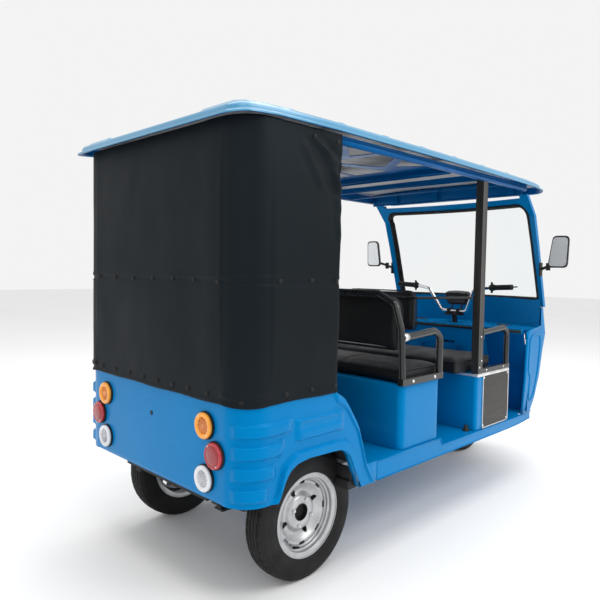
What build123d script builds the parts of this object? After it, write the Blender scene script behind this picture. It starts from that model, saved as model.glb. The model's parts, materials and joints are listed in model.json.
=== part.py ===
from build123d import *
import os, math
os.makedirs("parts", exist_ok=True)

# ---------------------------------------------------------------- driving sizes (mm)
# +X forward, +Y left, +Z up, ground at Z = 0. Stations below are measured from the rear axle and moved
# by X_MID so that the whole vehicle is centred on X = 0.
X_MID = 925.0
WHEELBASE = 2060.0
TYRE_R = 262.0            # 4.00-12 tyre
TYRE_W = 105.0
RIM_R = 170.0             # rim flange radius
REAR_TRACK = 865.0
BODY_HW = 578.0           # half width of the rear body
REAR_X = -428.0           # rear face
CORNER_R = 115.0
BODY_Z0 = 415.0           # lower edge of the rear body
BODY_Z1 = 800.0           # upper edge of the rear body
SHEET = 4.0               # panel wall
FLOOR_Z = 437.0           # passenger floor
CAB_FLOOR_Z = 400.0       # driver floor
SILL_Z = 350.0            # lower edge of the sills
ROOF_Z = 1768.0           # lower edge of the roof
ROOF_HW = 600.0
ROOF_X0 = -490.0
ROOF_X1 = 1930.0
ROOF_CROWN = 80.0
CURTAIN_Z0 = 772.0
CURTAIN_Z1 = 1764.0
CURTAIN_T = 3.0
CURTAIN_FRONT_X = 40.0
POST_X = 1210.0           # square middle posts
POST_W = 48.0
MID_X0, MID_X1 = 505.0, 830.0     # middle bench base
MID_TOP = 732.0
DRV_X0, DRV_X1 = 1190.0, 1555.0   # driver seat base
DRV_TOP = 705.0
BENCH_HW = 562.0
SCREEN_HW = 556.0                 # half width of the windscreen frame
SCREEN = [                        # height, station of the front face at the sides, forward bow at the middle
    dict(z=1037, x=2066, bow=130),
    dict(z=1120, x=2040, bow=130),
    dict(z=1420, x=1945, bow=110),
    dict(z=1600, x=1880, bow=90),
    dict(z=1715, x=1768, bow=70),
]
STEER_RAKE = 12.0
STEER_TOP = (1907.5, 980.0)       # point of the steering axis in the XZ plane, the axis also meets the front axle
FRONT_FLOOR_X = 1850.0            # front end of the driver floor beside the wheel arch
ARCH_X, ARCH_HW, ARCH_Z = 1744.0, 304.0, 650.0   # box over the front wheel

# ---------------------------------------------------------------- helpers
def blk(x0, x1, y0, y1, z0, z1):
    return Pos((x0 + x1) / 2, (y0 + y1) / 2, (z0 + z1) / 2) * Box(x1 - x0, y1 - y0, z1 - z0)

def rod(p, q, d):
    p, q = Vector(*p), Vector(*q)
    v = q - p
    pl = Plane(origin=(p + q) * 0.5, z_dir=v.normalized())
    return pl * Cylinder(d / 2, v.length)

def tube(pts, bend, d):
    path = FilletPolyline(*pts, radius=bend) if len(pts) > 2 else Line(*pts)
    pl = Plane(origin=path @ 0, z_dir=path % 0)
    return sweep(pl * Circle(d / 2), path)

def mirror_y(s):
    return s.mirror(Plane.XZ)

def both(s):
    return [s, mirror_y(s)]

def side_plate(pts, y0, y1):
    # polygon of (x, z) points pushed from y0 to y1
    f = make_face(Polyline(*[(x, 0, z) for x, z in pts], close=True))
    s = extrude(f, amount=(y1 - y0), dir=(0, 1, 0))
    return Pos(0, y0, 0) * s

def turned(pts):
    # closed (radius, y) outline turned about the Y axis
    f = make_face(Polyline(*[(r, y, 0) for r, y in pts], close=True))
    return revolve(f, Axis.Y, 360)

def u_plan(x0, x1, hw, r, z):
    # U outline open at the front: rear face at x0, sides to x1, rounded rear corners; returned as a face
    w = BuildLineU(x0, x1, hw, r, z)
    return make_face(w)

def BuildLineU(x0, x1, hw, r, z):
    k = r * (1 - math.sqrt(0.5))
    return Wire([
        Edge.make_line((x1, -hw, z), (x0 + r, -hw, z)),
        Edge.make_three_point_arc((x0 + r, -hw, z), (x0 + k, -hw + k, z), (x0, -hw + r, z)),
        Edge.make_line((x0, -hw + r, z), (x0, hw - r, z)),
        Edge.make_three_point_arc((x0, hw - r, z), (x0 + k, hw - k, z), (x0 + r, hw, z)),
        Edge.make_line((x0 + r, hw, z), (x1, hw, z)),
        Edge.make_line((x1, hw, z), (x1, -hw, z)),
    ])

def u_solid(x0, x1, hw, r, z0, z1):
    return extrude(u_plan(x0, x1, hw, r, z0), amount=z1 - z0, dir=(0, 0, 1))

NODES = {}

def put(name, *solids):
    moved = [Pos(-X_MID, 0, 0) * s for s in solids]
    flat = []
    for m in moved:
        flat.extend(m.solids())
    NODES[name] = flat[0] if len(flat) == 1 else Compound(children=flat)

# ---------------------------------------------------------------- wheels
RIM_T = 4.0
def rim(y_mid, side, drum):
    # outer face looks to +side
    o = [(RIM_R, 47), (RIM_R, 43), (150, 40), (150, -40), (RIM_R, -43), (RIM_R, -47),
         (150, -45), (146, -42), (146, 26), (136, 22), (122, 2), (70, 8), (58, 20), (34, 20), (34, 24),
         (60, 24), (72, 12), (120, 6), (131, 24), (146, 32), (146, 44), (150, 46)]
    s = turned([(r, side * y) for r, y in o])
    for i in range(4):
        a = 45 + 90 * i
        s -= Rot(0, a, 0) * (Pos(96, 0, 0) * Rot(90, 0, 0) * extrude(SlotOverall(46, 26, rotation=90), amount=60, both=True))
    for i in range(8):
        a = 22.5 + 45 * i
        s -= Rot(0, a, 0) * (Pos(130, side * 12, 0) * Box(8, 24, 20))
    if drum:
        d = turned([(40, side * 19.5), (105, side * 0), (105, side * -75), (99, side * -75), (99, side * -6), (40, side * 13)])
        s += d
        s += turned([(33.9, side * 20), (58, side * 20), (58, side * 4), (33.9, side * 4)])
    return Pos(0, y_mid, TYRE_R) * s

def tyre(y_mid):
    w = TYRE_W / 2
    pts = [(150.5, 39), (171, 42), (177, 47), (192, w - 1), (214, w), (236, w - 4), (252, 44), (260, 36), (TYRE_R, 20),
           (TYRE_R, -20), (260, -36), (252, -44), (236, -w + 4), (214, -w), (192, -w + 1), (177, -47), (171, -42), (150.5, -39),
           (150.5, -24), (165, -32), (192, -42), (214, -43), (234, -40), (247, -24), (247, 24), (234, 40), (214, 43), (192, 42),
           (165, 32), (150.5, 24)]
    return Pos(0, y_mid, TYRE_R) * turned(pts)

HALF = REAR_TRACK / 2
put("rear_right_rim", rim(-HALF, -1, True))
put("rear_right_tyre", tyre(-HALF))
put("rear_left_rim", rim(HALF, 1, True))
put("rear_left_tyre", tyre(HALF))
# front wheel: centred hub with a bore for the axle
front = turned([(RIM_R, 47), (RIM_R, 43), (150, 40), (150, -40), (RIM_R, -43), (RIM_R, -47), (150, -46), (146, -43),
                (146, -5), (92, -5), (92, -45), (30, -55), (14, -55), (14, 55), (30, 55), (40, 20), (60, 0), (146, 0), (146, 43), (150, 46)])
for i in range(8):
    front -= Rot(0, 45 * i, 0) * (Pos(119, 0, 0) * Rot(90, 0, 0) * Cylinder(13, 40))
put("front_rim", Pos(WHEELBASE, 0, TYRE_R) * front)
put("front_tyre", Pos(WHEELBASE, 0, 0) * tyre(0))

# ---------------------------------------------------------------- steering (built upright about its own axis, then raked)
def on_axis(z):
    return STEER_TOP[0] + (STEER_TOP[1] - z) * math.tan(math.radians(STEER_RAKE))
def axp(z, y=0.0, dx=0.0):
    return (on_axis(z) + dx, y, z)
LEG_Y = 92.0
fork = rod(axp(612), axp(960), 34)
fork += rod(axp(600), axp(625), 70)
crown_mid = axp(606)
fork += Pos(crown_mid[0], 0, crown_mid[2]) * Rot(0, STEER_RAKE, 0) * Box(70, 2 * LEG_Y + 44, 24)
for s in (-1, 1):
    fork += rod(axp(610, s * LEG_Y), axp(262, s * LEG_Y), 38)
    fork += Pos(WHEELBASE, s * LEG_Y, TYRE_R) * Rot(90, 0, 0) * Cylinder(24, 26)
fork += Pos(WHEELBASE, 0, TYRE_R) * Rot(90, 0, 0) * Cylinder(8, 2 * LEG_Y + 60)
fork += Pos(1912, 0, 965) * Box(64, 116, 14)
put("steering_fork", fork)
BAR_HALF = 425.0
BAR = [(1866, BAR_HALF, 1160), (1878, 270, 1152), (1858, 170, 1138), (1906, 92, 986)]
bar_r = tube([(x, -y, z) for x, y, z in BAR] + [(x, y, z) for x, y, z in reversed(BAR)], 26, 22)
put("handlebar", bar_r)
grips = []
for s in (-1, 1):
    p = Vector(BAR[0][0], s * BAR[0][1], BAR[0][2])
    q = Vector(BAR[1][0], s * BAR[1][1], BAR[1][2])
    d = (q - p).normalized()
    a = p - d * 4
    b = p + d * 118
    g = rod(tuple(a), tuple(b), 32) - rod(tuple(p), tuple(p + d * 200), 22.4)
    grips.append(g)
put("handlebar_grips", *grips)
pod = Pos(1962, 0, 1076) * Rot(0, -14, 0) * Box(58, 176, 88)
for s in (-1, 1):
    pod += rod((1936, s * 36, 976), (1952, s * 36, 1050), 12)
put("instrument_pod", pod)
guard = turned([(276, 62), (280, 62), (280, -62), (276, -62)])
cut = side_plate([(0, 0), (-500, -90), (-500, -500), (500, -500), (500, 120)], -100, 100)
guard = Pos(WHEELBASE, 0, TYRE_R) * (guard - cut)
put("front_mudguard", guard + (Pos(*axp(562)) * Rot(0, STEER_RAKE, 0) * Box(40, 60, 70)) - fork - Pos(WHEELBASE, 0, TYRE_R) * Rot(90, 0, 0) * Cylinder(276, 200))

# ---------------------------------------------------------------- chassis
RAIL_Y = 300.0
rail = 40.0
ch = None
for s in (-1, 1):
    y = s * RAIL_Y
    b = blk(-334, 1766, y - rail / 2, y + rail / 2, 345, 385)
    ch = b if ch is None else ch + b
for x in (250, 640, 1000, 1400, 1746):
    ch += blk(x - 20, x + 20, -RAIL_Y, RAIL_Y, 345, 385)
# flat bar that closes the rear end, tucked behind the lower edge of the body
ch += blk(-370, -330, -RAIL_Y, RAIL_Y, 368, 385)
for s in (-1, 1):
    for x in (-300, 300):
        ch += blk(x - 14, x + 14, s * RAIL_Y - 12, s * RAIL_Y + 12, 326, 350)
# two risers from the front cross member to the head tube
for s in (-1, 1):
    ch += rod((1752, s * 40, 365), (on_axis(860) - 50, s * 40, 860), 38)
ch += rod(axp(720), axp(896), 58)
ch += blk(on_axis(860) - 70, on_axis(860) - 10, -58, 58, 835, 870)
ch -= rod(axp(600), axp(1100), 46)
put("chassis_frame", ch)

# ---------------------------------------------------------------- rear suspension and drive
axle = rod((0, -340, TYRE_R), (0, 340, TYRE_R), 56)
axle += Pos(0, -60, TYRE_R) * Rot(90, 0, 0) * Cylinder(95, 110)
for s in (-1, 1):
    axle += Pos(0, s * 338, TYRE_R) * Rot(90, 0, 0) * Cylinder(100, 16)
    axle += blk(-40, 40, s * RAIL_Y - 26, s * RAIL_Y + 26, TYRE_R, 293)
put("rear_axle", axle)
put("drive_motor", Pos(0, 70, TYRE_R) * Rot(90, 0, 0) * Cylinder(86, 148) - rod((0, -400, TYRE_R), (0, 400, TYRE_R), 64))
springs = []
for s in (-1, 1):
    y = s * RAIL_Y
    spr = blk(-315, 315, y - 24, y + 24, 317, 325) + blk(-210, 210, y - 24, y + 24, 309, 317) + blk(-130, 130, y - 24, y + 24, 301, 309) + blk(-44, 44, y - 24, y + 24, 293.5, 301)
    springs.append(spr)
put("leaf_springs", *springs)

# ---------------------------------------------------------------- floor and sills
fl = side_plate([(250, FLOOR_Z - SHEET), (828, FLOOR_Z - SHEET), (838, CAB_FLOOR_Z - SHEET), (ARCH_X, CAB_FLOOR_Z - SHEET), (ARCH_X, CAB_FLOOR_Z),
                 (842, CAB_FLOOR_Z), (832, FLOOR_Z), (250, FLOOR_Z)], -BODY_HW + 6, BODY_HW - 6)
for s in (-1, 1):
    y0, y1 = sorted((s * 538, s * (ARCH_HW + 2)))
    fl += blk(ARCH_X - 1, FRONT_FLOOR_X, y0, y1, CAB_FLOOR_Z - SHEET, CAB_FLOOR_Z)
    y0, y1 = sorted((s * (BODY_HW - 6), s * (BODY_HW - 6 - SHEET)))
    fl += side_plate([(324, SILL_Z), (1560, SILL_Z), (1700, SILL_Z + 3), (FRONT_FLOOR_X, SILL_Z + 14), (FRONT_FLOOR_X, CAB_FLOOR_Z), (842, CAB_FLOOR_Z), (832, FLOOR_Z), (324, FLOOR_Z)], y0, y1)
for s in (-1, 1):
    fl -= rod((1752, s * 40, 365), (on_axis(860) - 50, s * 40, 860), 46)
put("floor_pan", fl)

# ---------------------------------------------------------------- rear body
outer = u_solid(REAR_X, 320, BODY_HW, CORNER_R, BODY_Z0, BODY_Z1)
inner = u_solid(REAR_X + SHEET, 400, BODY_HW - SHEET, CORNER_R - SHEET, BODY_Z0 - 10, BODY_Z1 + 10)
rb = outer - inner
rb += u_solid(100, 320, BODY_HW, 0.5, 350, BODY_Z0 + 5) - u_solid(90, 400, BODY_HW - SHEET, 0.5, 340, 480) if False else Pos(0, 0, 0) * blk(200, 320, -BODY_HW, -BODY_HW + SHEET, 350, BODY_Z0 + 1) + blk(200, 320, BODY_HW - SHEET, BODY_HW, 350, BODY_Z0 + 1)
# sloping front edge of the quarter panels
front_cut = side_plate([(40, BODY_Z1 + 20), (50, 765), (118, 735), (185, 640), (302, 352), (302, 300), (700, 300), (700, BODY_Z1 + 20)], -700, 700)
arch = side_plate([(-276, 300), (-268, 410), (-222, 512), (-150, 552), (70, 540), (118, 512), (196, 354), (190, 300)], -700, 700)
rb -= front_cut
rb -= arch & (blk(-700, 700, -700, -BODY_HW + 60, 200, 700) + blk(-700, 700, BODY_HW - 60, 700, 200, 700))
rb -= Pos(REAR_X, 0, 660) * Rot(0, 90, 0) * Cylinder(5, 40)
put("rear_body", rb)

# deck over the wheels and riser of the rear bench
deck = side_plate([(-395, 640), (150, 640), (196, 445), (200, 445), (154, 644), (-395, 644)], -568, 568)
deck -= u_solid(-1000, REAR_X + CORNER_R + 40, 700, 1, 600, 700) - u_solid(REAR_X + SHEET + 6, 1000, BODY_HW - SHEET - 6, CORNER_R - 10, 600, 700)
put("rear_deck", deck)
put("rear_bench_cushion", blk(-330, 140, -480, 480, 650, 740))
put("rear_bench_backrest", blk(-400, -340, -480, 480, 760, 1160))

# ---------------------------------------------------------------- middle bench
mb = blk(MID_X0, MID_X1, -BENCH_HW, BENCH_HW, FLOOR_Z + 1, MID_TOP) - blk(MID_X0 + SHEET, MID_X1 - SHEET, -BENCH_HW + SHEET, BENCH_HW - SHEET, FLOOR_Z - 10, MID_TOP - SHEET)
put("middle_bench_base", mb)
put("battery_pack", blk(MID_X0 + 30, MID_X1 - 30, -420, 420, FLOOR_Z + 3, 660))
put("middle_bench_cushion", blk(MID_X0 + 26, MID_X1 + 18, -538, 538, MID_TOP + 4, MID_TOP + 80))
put("middle_bench_backrest", blk(MID_X0 + 24, MID_X0 + 82, -508, 508, 884, 1134))

# ---------------------------------------------------------------- driver seat
db = blk(DRV_X0, DRV_X1, -BENCH_HW, BENCH_HW, CAB_FLOOR_Z + 1, DRV_TOP) - blk(DRV_X0 + SHEET, DRV_X1 - SHEET, -BENCH_HW + SHEET, BENCH_HW - SHEET, CAB_FLOOR_Z - 10, DRV_TOP - SHEET)
put("driver_seat_base", db)
put("driver_side_panels", *both(blk(1262, 1552, -BENCH_HW - 2.5, -BENCH_HW - 0.5, 402, 692)))
put("driver_seat_cushion", blk(1075, 1450, -505, 505, DRV_TOP + 4, DRV_TOP + 92))
put("driver_backrest", blk(1048, 1106, -240, 240, 925, 1140))

# ---------------------------------------------------------------- seat tubes
HOOP_X = 512.0            # hoop that carries the middle backrest
hoop = tube([(HOOP_X, -560, 750), (HOOP_X, -548, 985), (HOOP_X, -512, 1098), (HOOP_X, -415, 1144), (HOOP_X, 415, 1144), (HOOP_X, 512, 1098), (HOOP_X, 548, 985), (HOOP_X, 560, 750)], 38, 30)
for s in (-1, 1):
    hoop += tube([(HOOP_X, s * 550, 946), (768, s * 557, 964), (816, s * 560, 940), (816, s * 560, 750)], 42, 34)
    y0, y1 = sorted((s * 546, s * 576))
    hoop += blk(MID_X0 - 12, MID_X1, y0, y1, MID_TOP + 1.5, MID_TOP + 31)
arms = [hoop]
for s in (-1, 1):
    t = tube([(1254, s * 545, 922), (1520, s * 545, 937), (1560, s * 545, 914), (1560, s * 545, 722)], 42, 30)
    y0, y1 = sorted((s * 530, s * 560))
    t += blk(1252, 1575, y0, y1, DRV_TOP + 1.5, DRV_TOP + 24)
    arms.append(t)
arms.append(tube([(1212, -511, 1112), (1038, -262, 1104), (1038, 262, 1104), (1212, 511, 1112)], 40, 14))
put("seat_frames", *arms)
posts = []
posts += both(blk(POST_X + 15 - POST_W / 2, POST_X + 15 + POST_W / 2, -563, -521, DRV_TOP + 1, ROOF_Z - 30))
for x in (-300, 5):
    posts += both(rod((x, -545, 646), (x, -545, ROOF_Z - 28), 28))
put("roof_posts", *posts)

# ---------------------------------------------------------------- curtain
cu = u_solid(REAR_X - 10, CURTAIN_FRONT_X, BODY_HW + 6, CORNER_R + 6, CURTAIN_Z0, CURTAIN_Z1) - u_solid(REAR_X - 10 + CURTAIN_T, CURTAIN_FRONT_X + 100, BODY_HW + 6 - CURTAIN_T, CORNER_R + 6 - CURTAIN_T, CURTAIN_Z0 - 10, CURTAIN_Z1 + 10)
put("rear_curtain", cu)

# ---------------------------------------------------------------- roof
def rrect(x0, x1, hw, r, z):
    return Pos((x0 + x1) / 2, 0, z) * RectangleRounded(x1 - x0, 2 * hw, r)
def roof_body(d, zt):
    secs = [rrect(ROOF_X0 + d, ROOF_X1 - d, ROOF_HW - d, 130 - d, ROOF_Z),
            rrect(ROOF_X0 + d, ROOF_X1 - d, ROOF_HW - d, 130 - d, ROOF_Z + 42 - zt),
            rrect(ROOF_X0 + 40 + d, ROOF_X1 - 40 - d, ROOF_HW - 40 - d, 120 - d, ROOF_Z + 66 - zt),
            rrect(ROOF_X0 + 150 + d, ROOF_X1 - 150 - d, ROOF_HW - 150 - d, 100 - d, ROOF_Z + ROOF_CROWN - zt)]
    return loft([s.faces()[0] for s in secs], ruled=True)
roof = roof_body(0, 0) - (roof_body(5, 5) + Pos(0, 0, 0) * extrude(rrect(ROOF_X0 + 5, ROOF_X1 - 5, ROOF_HW - 5, 125, ROOF_Z - 20), amount=21))
put("roof_shell", roof)
RF_Z0, RF_Z1 = ROOF_Z - 26, ROOF_Z - 2
HEADER_X, HEADER_Z0, HEADER_Z1 = 1690.0, 1707.0, 1800.0   # panel that closes the front of the roof
ring_out = extrude(rrect(-425, 1805, 566, 118, RF_Z0), amount=RF_Z1 - RF_Z0)
ring_in = extrude(rrect(-397, 1777, 538, 48, RF_Z0 - 5), amount=RF_Z1 - RF_Z0 + 10)
rf = ring_out - ring_in
for x in (60, 900, 1210):
    rf += blk(x - 14, x + 14, -545, 545, RF_Z0, RF_Z1)
rf += blk(HEADER_X, HEADER_X + 4, -545, 545, HEADER_Z0, HEADER_Z1)
rf += blk(898, 902, -545, 545, RF_Z0 - 14, RF_Z1)
put("roof_frame", rf)
lat = blk(76, 884, -536, 536, ROOF_Z - 6, ROOF_Z - 3)
LATTICE = [               # cut-outs of the roof lining, right half
    [(140, -516), (412, -516), (384, -330)],
    [(446, -512), (520, -488), (690, -300), (668, -258), (486, -188), (420, -232)],
    [(110, -480), (330, -300), (110, -250)],
    [(200, -170), (398, -150), (398, -12), (160, -12)],
    [(560, -512), (840, -512), (732, -330)],
    [(520, -150), (820, -230), (820, -12), (470, -12)],
]
for pts in LATTICE:
    for k in (1, -1):
        hole = make_face(Polyline(*[(x, k * y, ROOF_Z - 20) for x, y in pts], close=True))
        lat -= extrude(hole, amount=40, dir=(0, 0, 1))
put("roof_lattice", lat)

# ---------------------------------------------------------------- windscreen
def screen_shell(t0, t1, hw):
    # curved sheet between the offsets t0 and t1 behind and ahead of the front face
    secs = []
    for c in SCREEN:
        x, b, z = c["x"], c["bow"], c["z"]
        secs.append(make_face(Wire([
            Edge.make_three_point_arc((x + t1, -hw, z), (x + t1 + b, 0, z), (x + t1, hw, z)),
            Edge.make_line((x + t1, hw, z), (x + t0, hw, z)),
            Edge.make_three_point_arc((x + t0, hw, z), (x + t0 + b, 0, z), (x + t0, -hw, z)),
            Edge.make_line((x + t0, -hw, z), (x + t1, -hw, z))])))
    return loft(secs, ruled=True)
WIN_Z0, WIN_Z1, WIN_HW0, WIN_HW1, WIN_R, WIN_RB = 1080.0, 1668.0, 524.0, 516.0, 60.0, 28.0
def window(g):
    # opening seen from the front, g wider on every side
    pts = [(-WIN_HW0 - g, WIN_Z0 - g), (WIN_HW0 + g, WIN_Z0 - g), (WIN_HW1 + g, WIN_Z1 + g), (-WIN_HW1 - g, WIN_Z1 + g)]
    sk = Sketch() + make_face(Polyline(*pts, close=True))
    sk = fillet([v for v in sk.vertices() if v.Y > 1400], WIN_R + g)
    sk = fillet([v for v in sk.vertices() if v.Y < 1200 and abs(v.Y - WIN_Z0 + g) < 1], WIN_RB + g)
    return Pos(1500, 0, 0) * extrude(Plane.YZ * sk, amount=900)
# open gap between the top bar and the roof header
put("windscreen_frame", screen_shell(-30, 0, SCREEN_HW) - window(0) - blk(1600, 2000, -500, 500, 1699, 1760))
ring = window(-1) - window(-16)
put("windscreen_seal", (screen_shell(-24, -2, SCREEN_HW) & ring) - (screen_shell(-15, -8, SCREEN_HW) & window(-8)))
put("windscreen_glass", screen_shell(-14, -9, SCREEN_HW) & window(-9))

# ---------------------------------------------------------------- front cowl
COWL = [  # height, half width, corner station, nose station
    dict(z=372, hw=545, xc=1945, xn=2030),
    dict(z=470, hw=553, xc=2000, xn=2110),
    dict(z=600, hw=560, xc=2042, xn=2190),
    dict(z=760, hw=564, xc=2070, xn=2250),
    dict(z=870, hw=566, xc=2102, xn=2275),
    dict(z=1034, hw=560, xc=2070, xn=2212),
]
COWL_X0 = 1786.0
def cowl_section(c, d, x0):
    hw, xc, xn, z = c["hw"] - d, c["xc"] - d, c["xn"] - d, c["z"]
    w = Wire([Edge.make_line((x0, -hw, z), (xc - 60, -hw, z)),
              Edge.make_three_point_arc((xc - 60, -hw, z), (xc - 12, -hw + 18, z), (xc + 12, -hw + 70, z)),
              Edge.make_three_point_arc((xc + 12, -hw + 70, z), (xn, 0, z), (xc + 12, hw - 70, z)),
              Edge.make_three_point_arc((xc + 12, hw - 70, z), (xc - 12, hw - 18, z), (xc - 60, hw, z)),
              Edge.make_line((xc - 60, hw, z), (x0, hw, z)),
              Edge.make_line((x0, hw, z), (x0, -hw, z))])
    return make_face(w)
def cowl_body(d, x0, grow):
    secs = []
    for i, c in enumerate(COWL):
        c = dict(c)
        if i == 0: c["z"] -= grow
        if i == len(COWL) - 1: c["z"] += grow
        secs.append(cowl_section(c, d, x0))
    return loft(secs, ruled=True)
cowl = cowl_body(0, COWL_X0, 0) - cowl_body(SHEET, COWL_X0 - 60, 1)
cowl -= side_plate([(1600, 1200), (1600, 896), (1806, 896), (1826, 904), (1994, 925), (2004, 1200)], -700, 700)
cowl -= Pos(WHEELBASE, 0, 300) * Cylinder(340, 660)
LAMP_Y, LAMP_Z = 330.0, 792.0
for s in (-1, 1):
    cowl -= Pos(2200, s * LAMP_Y, LAMP_Z) * Rot(0, 90, 0) * Cylinder(74, 300)
put("front_cowl", cowl)
# shelf, inner face below the windscreen, toe board and the box over the front wheel
def bow_plate(x_back, x_side, bow, hw, z0, z1):
    f = make_face(Wire([Edge.make_three_point_arc((x_side, -hw, z0), (x_side + bow, 0, z0), (x_side, hw, z0)),
                        Edge.make_line((x_side, hw, z0), (x_back, hw, z0)), Edge.make_line((x_back, hw, z0), (x_back, -hw, z0)),
                        Edge.make_line((x_back, -hw, z0), (x_side, -hw, z0))]))
    return extrude(f, amount=z1 - z0, dir=(0, 0, 1))
dash = bow_plate(1768, 2026, 120, 540, 905, 909)
dash += bow_plate(1768, 2026, 120, 540, 905, 1084) - bow_plate(1700, 2022, 120, 541, 900, 1100)
dash += side_plate([(1790, 907), (1768, 909), (1768, 880), (1772, 880), (1852, 640), (FRONT_FLOOR_X, CAB_FLOOR_Z + 2), (FRONT_FLOOR_X + 4, CAB_FLOOR_Z + 2), (1856, 641)], -540, 540)
dash -= blk(1700, 1900, -ARCH_HW, ARCH_HW, 300, ARCH_Z)
dash += blk(ARCH_X + 2, ARCH_X + 6, -ARCH_HW, ARCH_HW, CAB_FLOOR_Z + 2, ARCH_Z)
dash += blk(ARCH_X + 2, 1856, -ARCH_HW, ARCH_HW, ARCH_Z - 4, ARCH_Z)
for s in (-1, 1):
    y0, y1 = sorted((s * ARCH_HW, s * (ARCH_HW - 4)))
    dash += blk(ARCH_X + 2, 1854, y0, y1, CAB_FLOOR_Z + 2, ARCH_Z)
dash -= rod(axp(700), axp(1000), 76)
for s in (-1, 1):
    dash -= rod((1752, s * 40, 365), (on_axis(860) - 50, s * 40, 860), 52)
    dash -= Pos(1992, s * 312, 907) * Cylinder(40, 20)
dash -= blk(1800, 1930, -70, 70, 780, 896)
put("dash_panel", dash)

# ---------------------------------------------------------------- mirrors
MIRROR = [(-628, 1284), (-744, 1284), (-750, 1474), (-656, 1476)]   # outline seen from behind
MIRROR_X = 1892.0
def mirror_plate(g, x0, x1, r):
    cy = sum(y for y, z in MIRROR) / 4
    cz = sum(z for y, z in MIRROR) / 4
    pts = [(y + math.copysign(g, y - cy), z + math.copysign(g, z - cz)) for y, z in MIRROR]
    sk = fillet((Sketch() + make_face(Polyline(*pts, close=True))).vertices(), r)
    return Pos(x0, 0, 0) * extrude(Plane.YZ * sk, amount=x1 - x0)
m = mirror_plate(0, MIRROR_X, MIRROR_X + 30, 24) - mirror_plate(-7, MIRROR_X - 2, MIRROR_X + 6, 18)
m += rod((MIRROR_X + 24, -650, 1320), (1960, -600, 1292), 18)
m += rod((1960, -606, 1296), (1966, -559, 1276), 16)
m += blk(1946, 1986, -565, -557.5, 1236, 1312)
put("mirror_housings", *both(m))
put("mirror_glasses", *both(mirror_plate(-8.5, MIRROR_X + 2, MIRROR_X + 5.5, 17)))

# ---------------------------------------------------------------- lamps
def lamp(y, z):
    return Pos(REAR_X - 9.5, y, z) * Rot(0, 90, 0) * Cylinder(48, 18)
put("lamps_amber", lamp(372, 683), lamp(-372, 683))
put("lamps_red", lamp(431, 586), lamp(-431, 586))
put("lamps_white", lamp(372, 490), lamp(-372, 490))
put("headlamps", *[Pos(2196, s * LAMP_Y, LAMP_Z) * Rot(0, 90, 0) * Cylinder(72, 60) for s in (-1, 1)])

for name, shape in NODES.items():
    export_step(shape, f"parts/{name}.step")
    print(name, len(shape.solids()), round(sum(s.volume for s in shape.solids()) / 1e3, 1))
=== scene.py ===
import json
import math

import bmesh
import bpy
from mathutils import Matrix, Vector, noise


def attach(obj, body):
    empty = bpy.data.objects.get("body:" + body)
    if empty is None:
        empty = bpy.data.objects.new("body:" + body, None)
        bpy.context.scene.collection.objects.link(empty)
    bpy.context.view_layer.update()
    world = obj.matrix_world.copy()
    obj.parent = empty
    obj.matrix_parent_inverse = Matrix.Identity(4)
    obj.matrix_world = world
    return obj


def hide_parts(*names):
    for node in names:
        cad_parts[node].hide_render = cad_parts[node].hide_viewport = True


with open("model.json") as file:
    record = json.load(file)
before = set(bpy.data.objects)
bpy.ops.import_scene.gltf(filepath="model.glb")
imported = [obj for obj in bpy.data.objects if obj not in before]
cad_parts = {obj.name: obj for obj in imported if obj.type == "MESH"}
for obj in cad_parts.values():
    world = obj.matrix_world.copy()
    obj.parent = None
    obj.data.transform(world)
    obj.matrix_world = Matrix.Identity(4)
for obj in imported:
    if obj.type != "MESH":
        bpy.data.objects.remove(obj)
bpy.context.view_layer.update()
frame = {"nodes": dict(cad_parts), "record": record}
NODES = frame["nodes"]
COL = bpy.context.scene.collection
XM = 0.925  # stations measured from the rear axle are moved back by this

# ------------------------------------------------------------------ camera
YAW, PITCH, ROLL = math.radians(44.839), math.radians(-2.891), math.radians(0.9175)
F_PX = 586.26
CAM = Vector((-1.6722 - XM, -2.0734, 1.2442))
d = Vector((math.cos(PITCH) * math.cos(YAW), math.cos(PITCH) * math.sin(YAW), math.sin(PITCH)))
r = d.cross(Vector((0, 0, 1))).normalized()
u = r.cross(d)
c, s = math.cos(ROLL), math.sin(ROLL)
r2, u2 = c * r + s * u, -s * r + c * u
cam_data = bpy.data.cameras.new("camera")
cam_data.sensor_width = 36
cam_data.lens = F_PX * 36 / 600
cam = bpy.data.objects.new("camera", cam_data)
COL.objects.link(cam)
cam.matrix_world = Matrix(((r2.x, u2.x, -d.x, CAM.x), (r2.y, u2.y, -d.y, CAM.y), (r2.z, u2.z, -d.z, CAM.z), (0, 0, 0, 1)))
bpy.context.scene.camera = cam
bpy.context.scene.view_settings.view_transform = "Standard"


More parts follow.
